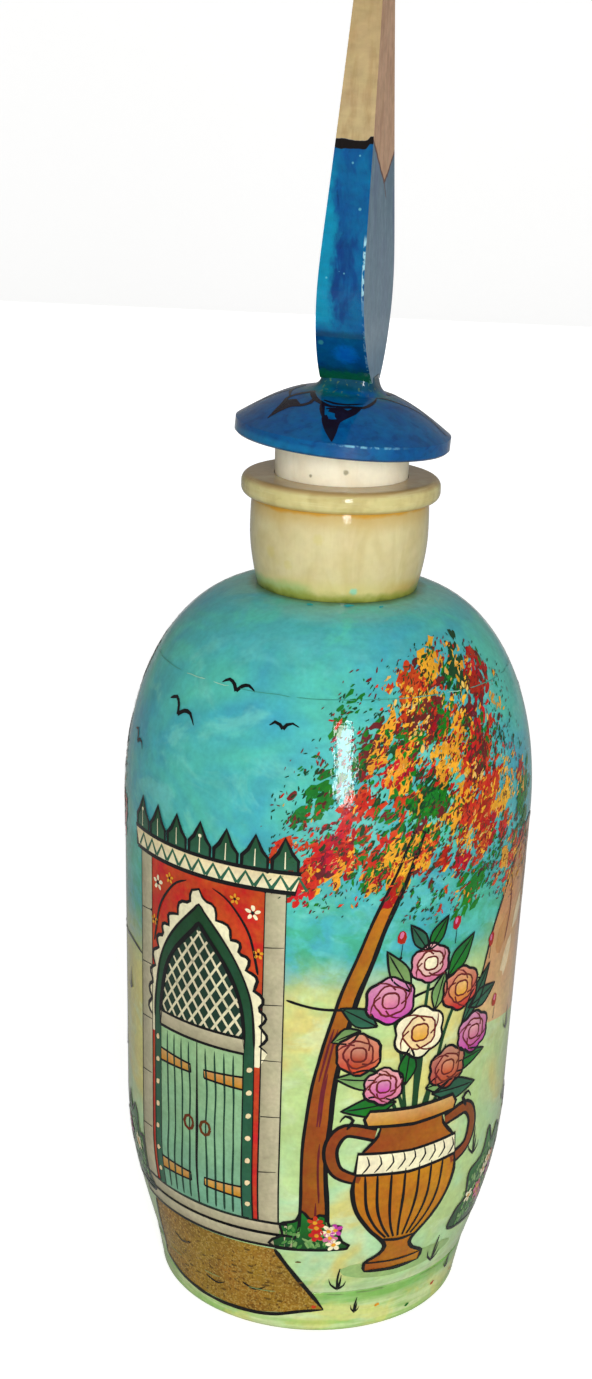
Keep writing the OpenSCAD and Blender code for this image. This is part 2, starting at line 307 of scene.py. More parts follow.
class Side:
    """The bottle's painted side as a picture plane in millimetres.

    Across runs round the bottle as it would at the body's full radius, 0 in front and growing to
    the viewer's right. Up follows the outline from the foot to the neck, and equals the height
    where the body is straight.
    """

    RADIUS = 25.0
    STEP = 0.25

    def __init__(self):
        corners, faces = [], []
        for name in SIDE_NODES:
            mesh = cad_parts[name].data
            start = len(corners)
            corners += [vertex.co.copy() for vertex in mesh.vertices]
            faces += [[start + index for index in polygon.vertices] for polygon in mesh.polygons]
        self.tree = BVHTree.FromPolygons(corners, faces)
        seams = [corner[2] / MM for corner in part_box("body_tube")]
        outline = [self.hit(0.3 + 0.5 * step, 0.0) for step in range(120)]
        rise = 0.5
        while outline[-1][0] > 9.0 and outline[-1][1] > 59.0:
            outline.append(self.hit(60.0, rise))
            rise += 0.9
        outline.pop()
        self.measure([p for p in outline if all(abs(p[1] - seam) > 0.55 for seam in seams)])

    def hit(self, height, rise):
        """Greatest radius and height where rays that rise by an angle leave the side."""
        best = None
        rise = math.radians(rise)
        for turn in range(24):
            around = math.tau * (turn + 0.37) / 24
            out = Vector((math.sin(around) * math.cos(rise), -math.cos(around) * math.cos(rise)))
            out = Vector((out.x, out.y, math.sin(rise)))
            start = Vector((0.0, 0.0, height * MM)) + out * 0.08
            place = self.tree.ray_cast(start, -out)[0]
            if place is None:
                continue
            radius = math.hypot(place.x, place.y) / MM
            if best is None or radius > best[0]:
                best = (radius, place.z / MM)
        return best

    def measure(self, outline):
        """Even steps of length along the outline, with up equal to the height at mid body."""
        self.points = [Vector(outline[0])]
        left = self.STEP
        for low, high in zip(outline, outline[1:]):
            low, high = Vector(low), Vector(high)
            length = (high - low).length
            along = left
            while along <= length:
                self.points.append(low.lerp(high, along / length))
                along += self.STEP
            left = along - length
        middle = min(range(len(self.points)), key=lambda i: abs(self.points[i].y - 40.0))
        self.start = self.points[middle].y - middle * self.STEP
        self.top = self.start + (len(self.points) - 1) * self.STEP

    def at(self, up):
        """Radius and height at a place up the outline."""
        step = min(max((up - self.start) / self.STEP, 0.0), len(self.points) - 1.001)
        low = int(step)
        return self.points[low].lerp(self.points[low + 1], step - low)

    def up(self, height):
        """How far up the outline a height is."""
        best = min(range(len(self.points)), key=lambda i: abs(self.points[i].y - height))
        return self.start + best * self.STEP

    def squeeze(self, up):
        """How much wider a shape is drawn so that it keeps its width on a smaller radius."""
        return self.RADIUS / self.at(up).x

    def facing(self, up):
        slope = self.at(up + 1.2) - self.at(up - 1.2)
        return Vector((slope.y, -slope.x)).normalized()

    def place(self, across, up, lift):
        """Place and facing, in metres, of a point of the picture lifted off the side."""
        facing = self.facing(up)
        point = self.at(up) + facing * lift
        around = across / self.RADIUS
        swing = Vector((math.sin(around), -math.cos(around), 0.0))
        up_axis = Vector((0.0, 0.0, 1.0))
        return (swing * point.x + up_axis * point.y) * MM, swing * facing.x + up_axis * facing.y


side = Side()


def curve(points, step=0.7, closed=False):
    """A smooth line through some points, as points a step apart."""
    points = [Vector(point) for point in points]
    count = len(points)
    pick = (lambda i: points[i % count]) if closed else (lambda i: points[min(max(i, 0), count - 1)])
    line = []
    for i in range(count if closed else count - 1):
        before, low, high, after = (pick(i + k) for k in (-1, 0, 1, 2))
        parts = max(1, round((high - low).length / step))
        for part in range(parts):
            t = part / parts
            line.append(0.5 * (
                2 * low + (high - before) * t
                + (2 * before - 5 * low + 4 * high - after) * t * t
                + (3 * low - before - 3 * high + after) * t * t * t
            ))
    if not closed:
        line.append(points[-1])
    return line


def moved(points, across=0.0, up=0.0, size=1.0, mirror=False):
    """Points scaled, mirrored left to right if asked, and moved on the picture plane."""
    sign = -1.0 if mirror else 1.0
    return [(across + sign * size * x, up + size * y) for x, y in points]


def mixed(first, second, part):
    return tuple(a + (b - a) * part for a, b in zip(first, second))


class Sheet:
    """A flat painting in millimetres, laid on the bottle's side once it is drawn.

    A point's third coordinate counts the coats of paint under it.
    """

    BODY = "bottle"
    SLOT = "painted_sky"

    def __init__(self, sizes, seed):
        self.sizes = sizes
        self.mesh = bmesh.new()
        self.paint = self.mesh.verts.layers.float_color.new("paint")
        self.wash = self.mesh.faces.layers.int.new("wash")
        self.washes = [None]
        self.hand = random.Random(seed)
        self.seed = seed

    def squeeze(self, up):
        return side.squeeze(up)

    def place(self, across, up, lift):
        return side.place(across, up, lift)

    def stray(self, point, share=1.0):
        """A point moved a little, as an unsteady hand does."""
        reach = self.sizes.wobble / MM * share
        spot = Vector((point[0] * 0.16, point[1] * 0.16, self.seed * 7.3))
        shift = noise.noise_vector(spot)
        return Vector((point[0] + shift.x * reach, point[1] + shift.y * reach))

    def fill(self, points, colour, coat, top=None, step=0.9, rounded=False, stray=1.0, across=None):
        """A closed shape of one paint, or of two that run into each other upwards or across."""
        line = curve(points, step, True) if rounded else [Vector(point) for point in points]
        line = [self.stray(point, stray) for point in line]
        corners = [self.mesh.verts.new((point.x, point.y, coat)) for point in line]
        edges = [self.mesh.edges.new(pair) for pair in zip(corners, corners[1:] + corners[:1])]
        made = bmesh.ops.contextual_create(self.mesh, geom=corners + edges)["faces"]
        made = bmesh.ops.triangulate(self.mesh, faces=made, ngon_method="EAR_CLIP")["faces"]
        axis = 0 if across else 1
        low, high = min(p[axis] for p in line), max(p[axis] for p in line)
        other = across or top or colour
        self.washes.append((tuple(colour), tuple(other), low, high, axis))
        for face in made:
            face[self.wash] = len(self.washes) - 1

    def ink(self, points, colour, coat, width=None, rounded=True, closed=False, ends=(0.45, 0.25),
            stray=1.0, step=0.6, blob=0.12):
        """A brush line that swells and thins as the hand presses."""
        width = width or self.sizes.ink_width / MM
        line = curve(points, step, closed) if rounded else [Vector(point) for point in points]
        line = [self.stray(point, stray) for point in line]
        if closed:
            line.append(line[0].copy())
        if len(line) < 2:
            return
        chain = [self.mesh.verts.new((point.x, point.y, coat)) for point in line]
        edges = [self.mesh.edges.new(pair) for pair in zip(chain, chain[1:])]
        made = bmesh.ops.extrude_edge_only(self.mesh, edges=edges)["geom"]
        place = {vertex: i for i, vertex in enumerate(chain)}
        twins = {}
        for vertex in made:
            if isinstance(vertex, bmesh.types.BMVert):
                origin = next(e.other_vert(vertex) for e in vertex.link_edges
                              if e.other_vert(vertex) in place)
                twins[place[origin]] = vertex
        length = sum((b - a).length for a, b in zip(line, line[1:]))
        run = 0.0
        for i, point in enumerate(line):
            before, after = line[max(i - 1, 0)], line[min(i + 1, len(line) - 1)]
            if i:
                run += (point - line[i - 1]).length
            along = after - before
            squeeze = self.squeeze(point.y)
            along = Vector((along.x / squeeze, along.y))
            if along.length < 1e-6:
                along = Vector((1.0, 0.0))
            across = Vector((-along.y, along.x)).normalized()
            press = 1.0 if closed else min(
                1.0, ends[0] + run / (2.5 * width), ends[1] + (length - run) / (5.0 * width)
            )
            press *= 1.0 + 0.28 * noise.noise(Vector((run * 0.35, self.seed * 3.1, point.x * 0.05)))
            half = Vector((across.x * squeeze, across.y)) * width * 0.5 * press
            chain[i].co = (point.x + half.x, point.y + half.y, coat)
            twins[i].co = (point.x - half.x, point.y - half.y, coat)
        self.washes.append((tuple(colour), tuple(colour), 0.0, 1.0, 1))
        for item in made:
            if isinstance(item, bmesh.types.BMFace):
                item[self.wash] = len(self.washes) - 1
        if not closed and self.hand.random() < blob:
            end = line[-1] if self.hand.random() < 0.6 else line[0]
            self.dab(end.x, end.y, width * 1.5, width * 1.3, 0.0, colour, coat, 8, 0.9)

    def dab(self, across, up, long, wide, turn, colour, coat, corners=7, even=0.6):
        """One touch of the brush: a small ragged blot, long by wide."""
        made = bmesh.ops.create_circle(self.mesh, cap_ends=True, segments=corners, radius=0.5)
        squeeze = self.squeeze(up)
        cosine, sine = math.cos(turn), math.sin(turn)
        for vertex in made["verts"]:
            reach = self.hand.uniform(even, 2.0 - even)
            x, y = vertex.co.x * long * reach, vertex.co.y * wide * reach
            vertex.co = (across + (x * cosine - y * sine) * squeeze, up + x * sine + y * cosine, coat)
            vertex[self.paint] = (*colour, 1.0)

    def absorb(self, other):
        """Takes over what another sheet holds."""
        held = bpy.data.meshes.new("held")
        other.mesh.to_mesh(held)
        other.mesh.free()
        self.mesh.from_mesh(held)
        bpy.data.meshes.remove(held)

    def cut(self):
        """Cuts what is drawn so far into cells small enough to follow the round side."""
        cell = self.sizes.cell / MM
        for axis in (0, 1):
            places = [vertex.co[axis] for vertex in self.mesh.verts]
            first, last = math.ceil(min(places) / cell), math.floor(max(places) / cell)
            for step in range(first, last + 1):
                place = step * cell
                if axis == 0 or place < 24.0 or place > 62.0 or step % 4 == 0:
                    self.slice(axis, place)
        self.settle()

    def slice(self, axis, place):
        """Cuts the faces that cross one line of the grid."""
        crossed = [
            face for face in self.mesh.faces
            if min(v.co[axis] for v in face.verts) < place - 1e-4
            and max(v.co[axis] for v in face.verts) > place + 1e-4
        ]
        geometry = dict.fromkeys(crossed)
        for face in crossed:
            geometry.update(dict.fromkeys(face.edges))
            geometry.update(dict.fromkeys(face.verts))
        point, normal = Vector((0.0, 0.0, 0.0)), Vector((0.0, 0.0, 0.0))
        point[axis], normal[axis] = place, 1.0
        bmesh.ops.bisect_plane(
            self.mesh, geom=list(geometry), dist=1e-5, plane_co=point, plane_no=normal
        )

    def settle(self):
        """Colours each wash by where it runs from one paint to the other."""
        for face in self.mesh.faces:
            wash = self.washes[face[self.wash]]
            if wash is None:
                continue
            low_paint, high_paint, low, high, axis = wash
            for vertex in face.verts:
                part = (vertex.co[axis] - low) / max(high - low, 1e-6)
                part = min(max(part + 0.12 * noise.noise(vertex.co * 0.3), 0.0), 1.0)
                vertex[self.paint] = (*mixed(low_paint, high_paint, part), 1.0)
            face[self.wash] = 0

    def lay(self, name, material):
        """Wraps the painting round the bottle as one piece that moves with it."""
        mesh = self.mesh
        mesh.normal_update()
        bmesh.ops.reverse_faces(mesh, faces=[face for face in mesh.faces if face.normal.z < 0.0])
        bmesh.ops.delete(mesh, geom=[v for v in mesh.verts if not v.link_faces], context="VERTS")
        step = self.sizes.paint_step / MM
        facings = []
        for vertex in mesh.verts:
            vertex.co, facing = self.place(vertex.co.x, vertex.co.y, vertex.co.z * step)
            facings.append(facing)
        return finished(mesh, name, material, self.BODY, facings)


class CapSheet(Sheet):
    """A flat painting seen from above, laid on the stopper's cap."""

    BODY = "stopper"
    SLOT = "painted_blue"
    ABOVE = 0.13

    def __init__(self, sizes, seed):
        super().__init__(sizes, seed)
        mesh = bpy.data.objects["painted_cap"].data
        corners = [vertex.co.copy() for vertex in mesh.vertices]
        faces = [list(polygon.vertices) for polygon in mesh.polygons]
        self.tree = BVHTree.FromPolygons(corners, faces)

    def squeeze(self, up):
        return 1.0

    def place(self, across, up, lift):
        above = Vector((across * MM, up * MM, self.ABOVE))
        place, facing = self.tree.ray_cast(above, Vector((0.0, 0.0, -1.0)))[:2]
        if place is None:
            raise RuntimeError("The star reaches past the cap")
        return place + facing * lift * MM, facing


def finished(mesh, name, material, body, facings=None):
    """Turns a bmesh into a named piece with its material and body."""
    data = bpy.data.meshes.new(name)
    mesh.to_mesh(data)
    mesh.free()
    for polygon in data.polygons:
        polygon.use_smooth = True
    if facings:
        data.normals_split_custom_set_from_vertices(facings)
    data.materials.append(material)
    piece = bpy.data.objects.new(name, data)
    bpy.context.collection.objects.link(piece)
    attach(piece, body)
    return piece


def picture_paint():
    """The piece's own paints, brushed on unevenly, under clear lacquer."""
    finish = Finish("picture_paint")
    paint = finish.node("ShaderNodeAttribute", attribute_name="paint").outputs["Color"]
    paint = finish.varied(paint, 4.0, 0.012, 0.12)
    streaks = finish.noise(0.55, 2.0, (1.0, 1.0, 0.35))
    paint = finish.varied(paint, 0.7, 0.004, 0.1)
    finish.lacquer()
    finish.plug(finish.shader.inputs["Normal"], finish.bump(streaks, 0.03))
    return finish.colour(paint)


def gilt_paint(paints):
    """Brown-gold paint with fine metal glitter, for the path."""
    finish = Finish("gilt_paint")
    paint = finish.varied(tuple(paints.gilt), 5.0, 0.014, 0.24)
    grains = finish.noise(0.32, 2.0)
    paint = finish.blend(finish.span(grains, 0.5, 0.66), paint, srgb(214, 178, 92))
    paint = finish.blend(finish.span(finish.noise(0.4, 2.0, (1.1, 1.0, 0.9)), 0.44, 0.32), paint, srgb(104, 72, 22))
    finish.lacquer(0.7)
    finish.plug(finish.shader.inputs["Metallic"], finish.span(grains, 0.56, 0.66))
    finish.plug(finish.shader.inputs["Normal"], finish.bump(grains, 0.06))
    return finish.colour(paint)


def painted_side(paints):
    """Sky, meadow and the foot's green washes over bone, under brushed lacquer, with painted shade round the neck and
    painted shade and highlight along the foot's seam.
    """
    finish = Finish("painted_side")
    x, y, z = finish.axes()
    broad = finish.noise(15.0, 3.0, (1.0, 1.0, 1.25), 0.6, 0.5)
    patches = finish.noise(7.0, 4.0, (1.0, 1.0, 1.4), 0.6, 0.8)
    small = finish.noise(2.6, 4.0, (1.0, 1.0, 1.5), 0.6, 0.4)

    sky = finish.blend(finish.span(broad, 0.4, 0.66), tuple(paints.sky), tuple(paints.sky_blue))
    pale = finish.maths("MULTIPLY", finish.span(patches, 0.5, 0.68), 0.55)
    sky = finish.blend(pale, sky, srgb(116, 206, 190))
    low = finish.span(z, 0.072, 0.05)
    green = finish.maths("MULTIPLY", finish.span(small, 0.4, 0.64), low)
    sky = finish.blend(finish.maths("MULTIPLY", green, 0.75), sky, tuple(paints.sky_green))
    high = finish.maths("MULTIPLY", finish.span(z, 0.0835, 0.089), finish.span(patches, 0.4, 0.56))
    sky = finish.blend(finish.maths("MULTIPLY", high, 0.8), sky, srgb(76, 174, 180))
    # Painted shade round the neck's foot: the sky turns greyish teal on the shoulder, then olive right at the joint,
    # where run paint and painted contact shade meet
    edge = finish.maths("MULTIPLY", finish.span(z, 0.0893, 0.0909), finish.span(patches, 0.3, 0.6))
    sky = finish.blend(finish.maths("MULTIPLY", edge, 0.75), sky, srgb(116, 184, 166))
    by_neck = finish.span(finish.maths("MULTIPLY_ADD", small, 0.0002, z), 0.09092, 0.0911)
    sky = finish.blend(finish.maths("MULTIPLY", by_neck, 0.8), sky, srgb(98, 124, 74))

    meadow = finish.blend(
        finish.span(broad, 0.38, 0.6), tuple(paints.meadow), tuple(paints.meadow_mint)
    )
    high_up = finish.maths("MULTIPLY", finish.span(z, 0.018, 0.042), 0.16)
    straw = finish.span(finish.maths("ADD", broad, high_up), 0.52, 0.7)
    meadow = finish.blend(finish.maths("MULTIPLY", straw, 0.85), meadow, tuple(paints.meadow_yellow))
    washed = finish.span(patches, 0.5, 0.68)
    meadow = finish.blend(finish.maths("MULTIPLY", washed, 0.5), meadow, srgb(208, 230, 184))
    skyline = finish.maths("MULTIPLY_ADD", broad, 0.014, z)
    side_paint = finish.blend(finish.span(skyline, 0.053, 0.061), meadow, sky)

    round_streaks = finish.noise(1.9, 3.0, (0.18, 0.18, 1.7), 0.6)
    foot = finish.blend(finish.span(round_streaks, 0.38, 0.66), srgb(208, 226, 164), srgb(156, 202, 108))
    foot = finish.blend(
        finish.maths("MULTIPLY", finish.span(patches, 0.5, 0.66), 0.6), foot, srgb(220, 214, 116)
    )
    foot_line = finish.maths("MULTIPLY_ADD", small, 0.006, z)
    side_paint = finish.blend(finish.span(foot_line, 0.0145, 0.0085), side_paint, foot)
    # Painted shade and painted highlight at the foot's seam: broken darker green below it and a pale band above, so
    # that it reads as a soft groove
    seam_shade_below = finish.maths("MULTIPLY", finish.span(z, 0.0036, 0.0058), finish.span(z, 0.0066, 0.0062))
    seam_shade_below = finish.maths("MULTIPLY", seam_shade_below, finish.span(broad, 0.34, 0.56))
    side_paint = finish.blend(finish.maths("MULTIPLY", seam_shade_below, 0.7), side_paint, srgb(112, 176, 80))
    seam_highlight_above = finish.maths("MULTIPLY", finish.span(z, 0.0062, 0.0066), finish.span(z, 0.0084, 0.0072))
    side_paint = finish.blend(finish.maths("MULTIPLY", seam_highlight_above, 0.45), side_paint, srgb(196, 212, 178))

    side_paint = finish.varied(side_paint, 3.2, 0.01, 0.09, (1.0, 1.0, 0.7))
    side_paint = finish.varied(side_paint, 0.8, 0.004, 0.07)

    radius = finish.node("ShaderNodeVectorMath", {0: finish.flat()}, operation="LENGTH")
    radius = radius.outputs["Value"]
    tube = finish.maths("MULTIPLY", finish.below(radius, 0.0174), finish.below(z, 0.083))
    dome = finish.maths("MULTIPLY", finish.below(radius, 0.0146), finish.below(z, 0.0881))
    bare = finish.maths("MAXIMUM", finish.maths("MAXIMUM", tube, dome), finish.below(z, 0.00012))
    bone = finish.varied(tuple(paints.bone), 2.0, 0.006, 0.12, (1.0, 1.0, 0.3))
    finish.lacquer()
    finish.plug(finish.shader.inputs["Normal"], finish.bump(finish.noise(0.9, 3.0), 0.04))
    return finish.colour(finish.blend(bare, side_paint, bone))


def turned_bone(name, bone, shade, grain=(1.0, 1.0, 0.12), pores=0.0, gloss=1.0, fibre=0.3):
    """Bone off the lathe: long grain, faint growth bands, small dark pores, and lacquer on top."""
    finish = Finish(name)
    fibres = finish.noise(0.5, 4.0, grain, 0.65)
    bands = finish.noise(4.5, 3.0, (1.0, 1.0, 0.45), 0.6, 0.6)
    paint = finish.blend(finish.span(bands, 0.38, 0.72), bone, mixed(bone, shade, 0.7))
    paint = finish.blend(finish.maths("MULTIPLY", finish.span(fibres, 0.52, 0.72), fibre), paint, shade)
    paint = finish.varied(paint, 1.6, 0.004, 0.04)
    relief = fibres
    if pores:
        holes = finish.specks(1.5, 0.2, (1.0, 1.0, 0.7))
        chosen = finish.maths("MULTIPLY", holes, finish.span(finish.noise(2.2), 0.6, 0.64))
        paint = finish.blend(finish.maths("MULTIPLY", chosen, pores), paint, srgb(120, 104, 70))
        relief = finish.maths("SUBTRACT", fibres, chosen)
    finish.lacquer(gloss)
    finish.plug(finish.shader.inputs["Normal"], finish.bump(relief, 0.03))
    finish.shader.inputs["Subsurface Weight"].default_value = 0.12
    finish.shader.inputs["Subsurface Radius"].default_value = (0.0012, 0.0008, 0.0005)
    return finish, paint


def neck_bone(paints):
    """Lacquered bone of the neck, browner under the ring, with its neighbours' paint run onto it, and painted shade in
    its joint with the shoulder.
    """
    finish, paint = turned_bone("lacquered_bone", tuple(paints.neck), srgb(198, 180, 122), fibre=0.16)
    x, y, z = finish.axes()
    wavy = finish.maths("MULTIPLY_ADD", finish.noise(3.0), 0.0012, z)
    top = finish.span(wavy, 0.0994, 0.1024)
    paint = finish.blend(finish.maths("MULTIPLY", top, 0.75), paint, srgb(196, 160, 84))
    line = finish.span(wavy, 0.10165, 0.1021)
    paint = finish.blend(finish.maths("MULTIPLY", line, 0.8), paint, srgb(206, 150, 34))
    for place, size in (((-2.0, -10.4, 98.5), 1.1), ((-5.5, -8.9, 95.0), 1.0), ((-7.6, -7.3, 96.2), 1.3)):
        paint = finish.blend(finish.maths("MULTIPLY", finish.spot(place, size), 0.22), paint, srgb(206, 190, 70))
    uneven = finish.maths("MULTIPLY_ADD", finish.noise(1.4), 0.0008, wavy)
    low = finish.span(uneven, 0.0953, 0.0931)
    paint = finish.blend(finish.maths("MULTIPLY", low, 0.5), paint, srgb(206, 196, 112))
    left = finish.maths("MULTIPLY", finish.span(x, -0.0015, -0.0045), finish.span(uneven, 0.0943, 0.0931))
    paint = finish.blend(finish.maths("MULTIPLY", left, 0.55), paint, srgb(128, 182, 112))
    right = finish.maths("MULTIPLY", finish.span(x, 0.004, 0.009), finish.span(uneven, 0.0948, 0.093))
    paint = finish.blend(finish.maths("MULTIPLY", right, 0.6), paint, srgb(186, 138, 48))
    paint = finish.blend(finish.maths("MULTIPLY", finish.spot((2.3, -9.7, 92.4), 0.8), 0.7), paint, srgb(122, 212, 186))
    # Olive paint run onto the neck's foot, darkest in the joint with the shoulder, where it is also painted contact
    # shade
    stain = finish.span(uneven, 0.0934, 0.09245)
    paint = finish.blend(finish.maths("MULTIPLY", stain, 0.85), paint, srgb(138, 148, 54))
    gap = finish.span(uneven, 0.09255, 0.0919)
    paint = finish.blend(finish.maths("MULTIPLY", gap, 0.85), paint, srgb(84, 100, 38))
    return finish.colour(paint)


def ring_bone(paints):
    """Greenish bone of the mouth ring, browner on top and in its turned edges."""
    finish, paint = turned_bone(
        "ring_bone", tuple(paints.bone_green), srgb(178, 160, 96), (0.25, 0.25, 1.0)
    )
    x, y, z = finish.axes()
    top = finish.span(z, 0.10365, 0.1042)
    paint = finish.blend(finish.maths("MULTIPLY", top, 0.8), paint, tuple(paints.bone_brown))
    streaks = finish.noise(0.7, 3.0, (0.12, 0.12, 2.0))
    paint = finish.blend(finish.maths("MULTIPLY", finish.span(streaks, 0.5, 0.7), 0.4), paint, srgb(220, 214, 160))
    low = finish.span(z, 0.10225, 0.10185)
    paint = finish.blend(finish.maths("MULTIPLY", low, 0.6), paint, srgb(190, 144, 50))
    return finish.colour(paint)


def plug_bone(paints):
    finish, paint = turned_bone(
        "plug_bone", tuple(paints.bone_white), srgb(236, 222, 190), gloss=0.25
    )
    for place, size in (((-3.3, -7.2, 105.3), 0.36), ((0.8, -7.9, 106.0), 0.55), ((5.2, 5.4, 106.2), 0.4)):
        paint = finish.blend(
            finish.maths("MULTIPLY", finish.spot(place, size), 0.7), paint, srgb(128, 120, 84)
        )
    return finish.colour(paint)


def hidden_bone(paints):
    finish, paint = turned_bone(
        "bare_bone", tuple(paints.bone), srgb(206, 182, 132), pores=0.6, gloss=0.1
    )
    return finish.colour(paint)


def dowel_wood():
    """Plain wood of the peg, with grain along it."""
    finish = Finish("dowel_wood")
    grain = finish.noise(0.5, 4.0, (1.0, 1.0, 0.1), 0.6, 0.4)
    paint = finish.ramp(grain, [(0.35, srgb(150, 108, 62)), (0.65, srgb(206, 166, 110))])
    finish.shader.inputs["Roughness"].default_value = 0.6
    finish.plug(finish.shader.inputs["Normal"], finish.bump(grain, 0.05))
    return finish.colour(paint)


def cap_paint(paints):
    """Blue paint of the stopper's cap, darker in brush hollows, with a painted highlight on the front of the rim."""
    finish = Finish("cap_paint")
    low, high = (corner / MM for corner in (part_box("stopper_cap")[0].z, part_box("stopper_cap")[1].z))
    lean = (0.0, math.radians(3.65), 0.0)
    local = finish.stretched((1.0, 1.0, 1.0), lean, (0.0, 0.0, 0.1084))
    x, y, z = finish.axes(local)
    brushed = finish.noise(2.2, 4.0, (1.0, 1.0, 1.6), 0.6, 0.7)
    broad = finish.noise(6.0, 3.0)
    paint = finish.blend(finish.span(broad, 0.4, 0.62), tuple(paints.cap_blue), srgb(0, 92, 146))
    dark = finish.maths("MULTIPLY", finish.span(brushed, 0.5, 0.36), 0.5)
    paint = finish.blend(dark, paint, srgb(2, 56, 112))
    radius = finish.node("ShaderNodeVectorMath", {0: finish.flat(local)}, operation="LENGTH")
    radius = finish.maths("MULTIPLY_ADD", brushed, 0.0016, radius.outputs["Value"])
    green = finish.maths("MULTIPLY", finish.span(radius, 0.0078, 0.0054), finish.span(broad, 0.42, 0.56))
    paint = finish.blend(finish.maths("MULTIPLY", green, 0.7), paint, srgb(10, 108, 92))
    flare = finish.maths("MULTIPLY_ADD", brushed, 0.0008, z)
    paint = finish.blend(finish.maths("MULTIPLY", finish.span(flare, 0.0064, 0.0072), 0.8), paint, srgb(0, 64, 76))
    flecks = finish.maths("MULTIPLY", finish.span(finish.noise(0.5), 0.58, 0.66), finish.span(z, 0.0056, 0.0062))
    paint = finish.blend(finish.maths("MULTIPLY", flecks, 0.45), paint, srgb(96, 128, 66))
    # Painted highlight: a pale broken band on the rim's upper edge, only on the front right, where the lamp would catch
    # it
    rim = finish.maths("MULTIPLY", finish.span(z, 0.0018, 0.00168), finish.span(z, 0.00142, 0.00156))
    grains = finish.span(finish.noise(0.9, 3.0, (1.0, 1.0, 0.6)), 0.4, 0.56)
    turned = finish.maths("ARCTAN2", x, finish.maths("MULTIPLY", y, -1.0))
    front = finish.maths("MULTIPLY", finish.span(turned, math.radians(-8), math.radians(6)), finish.below(y, 0.0))
    front = finish.maths("MULTIPLY", front, finish.span(turned, math.radians(40), math.radians(20)))
    edge_highlight = finish.maths("MULTIPLY", rim, finish.maths("MULTIPLY", grains, front))
    paint = finish.blend(finish.maths("MULTIPLY", edge_highlight, 0.8), paint, srgb(120, 190, 216))
    teal = finish.maths("MULTIPLY", finish.span(z, 0.0013, 0.0007), finish.span(turned, math.radians(0), math.radians(-40)))
    paint = finish.blend(finish.maths("MULTIPLY", teal, 0.5), paint, srgb(24, 124, 164))
    below = finish.span(z, 0.0004, 0.0)
    paint = finish.blend(finish.maths("MULTIPLY", below, 0.6), paint, srgb(8, 54, 98))
    finish.lacquer()
    finish.plug(finish.shader.inputs["Normal"], finish.bump(brushed, 0.08))
    return finish.colour(finish.varied(paint, 1.0, 0.006, 0.12))


def standing(aside, height, lean, turn=0.0):
    """The frame of a piece: how far aside and how high it stands, in millimetres, its lean and turn."""
    return (
        Matrix.Translation(Vector((aside, 0.0, height)) * MM) @ Matrix.Rotation(math.radians(lean), 4, "Y")
        @ Matrix.Rotation(math.radians(turn), 4, "Z")
    )


def flared_cap(material):
    """The cap with its cove drawn in to the finial's foot, as paint and filler round it do."""
    mesh = bmesh.new()
    mesh.from_mesh(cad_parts["stopper_cap"].data)
    bmesh.ops.remove_doubles(mesh, verts=mesh.verts[:], dist=1e-6)
    cap = standing(*CAP_STAND)
    blade = cap @ standing(*BLADE_STAND)
    into_cap = cap.inverted()
    cove = []
    for vertex in mesh.verts:
        place = into_cap @ vertex.co
        if math.hypot(place.x, place.y) < COVE_RADIUS * MM - 1e-5 and place.z > CAP_SIDE_HEIGHT * MM:
            cove.append(vertex)
    bmesh.ops.delete(mesh, geom=cove, context="VERTS")
    edges = [edge for edge in mesh.edges if edge.is_boundary]
    bottom = [edge for edge in edges if (into_cap @ edge.verts[0].co).z < CAP_SIDE_HEIGHT * MM]
    bmesh.ops.holes_fill(mesh, edges=bottom, sides=0)
    ring = [edge for edge in edges if edge not in bottom]
    start = {}
    for step in range(1, FLARE_STEPS + 2):
        before = {vertex for edge in ring for vertex in edge.verts}
        made = bmesh.ops.extrude_edge_only(mesh, edges=ring)["geom"]
        fresh = [item for item in made if isinstance(item, bmesh.types.BMVert)]
        origins = {
            vertex: next(edge.other_vert(vertex) for edge in vertex.link_edges if edge.other_vert(vertex) in before)
            for vertex in fresh
        }
        part = min(step / FLARE_STEPS, 1.0) * math.pi / 2
        for vertex in fresh:
            low = start.get(origins[vertex], origins[vertex].co.copy())
            start[vertex] = low
            place = into_cap @ low
            turn = math.atan2(place.y, place.x) - math.radians(BLADE_STAND[3])
            out = Vector((math.cos(turn), math.sin(turn)))
            wide = (abs(out.x / FOOT_HALF_X) ** 5 + abs(out.y / FOOT_HALF_Y) ** 5) ** -0.2
            sunk = 0.6 if step > FLARE_STEPS else 0.0
            top = blade @ (Vector((out.x * (wide - sunk), out.y * (wide - sunk), FLARE_TOP + sunk)) * MM)
            inward, rise = math.sin(part), 1.0 - math.cos(part)
            vertex.co = (
                low.x + (top.x - low.x) * inward, low.y + (top.y - low.y) * inward, low.z + (top.z - low.z) * rise
            )
        ring = [item for item in made if isinstance(item, bmesh.types.BMEdge)
                and all(vertex in origins for vertex in item.verts)]
    bmesh.ops.edgeloop_fill(mesh, edges=ring)
    bmesh.ops.recalc_face_normals(mesh, faces=mesh.faces[:])
    for edge in mesh.edges:
        edge.smooth = edge.calc_face_angle(0.0) < math.radians(32)
    piece = finished(mesh, "painted_cap", material, "stopper")
    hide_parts("stopper_cap")


# The cap's cove and the foot of the finial, in millimetres
CAP_STAND = (-0.1, 108.4, 3.65)
BLADE_STAND = (0.2, 7.4, -2.45, -8.7)
COVE_RADIUS = 5.05
CAP_SIDE_HEIGHT = 3.0
FLARE_STEPS = 8
FLARE_TOP = 0.4
FOOT_HALF_X = 3.14
FOOT_HALF_Y = 2.96


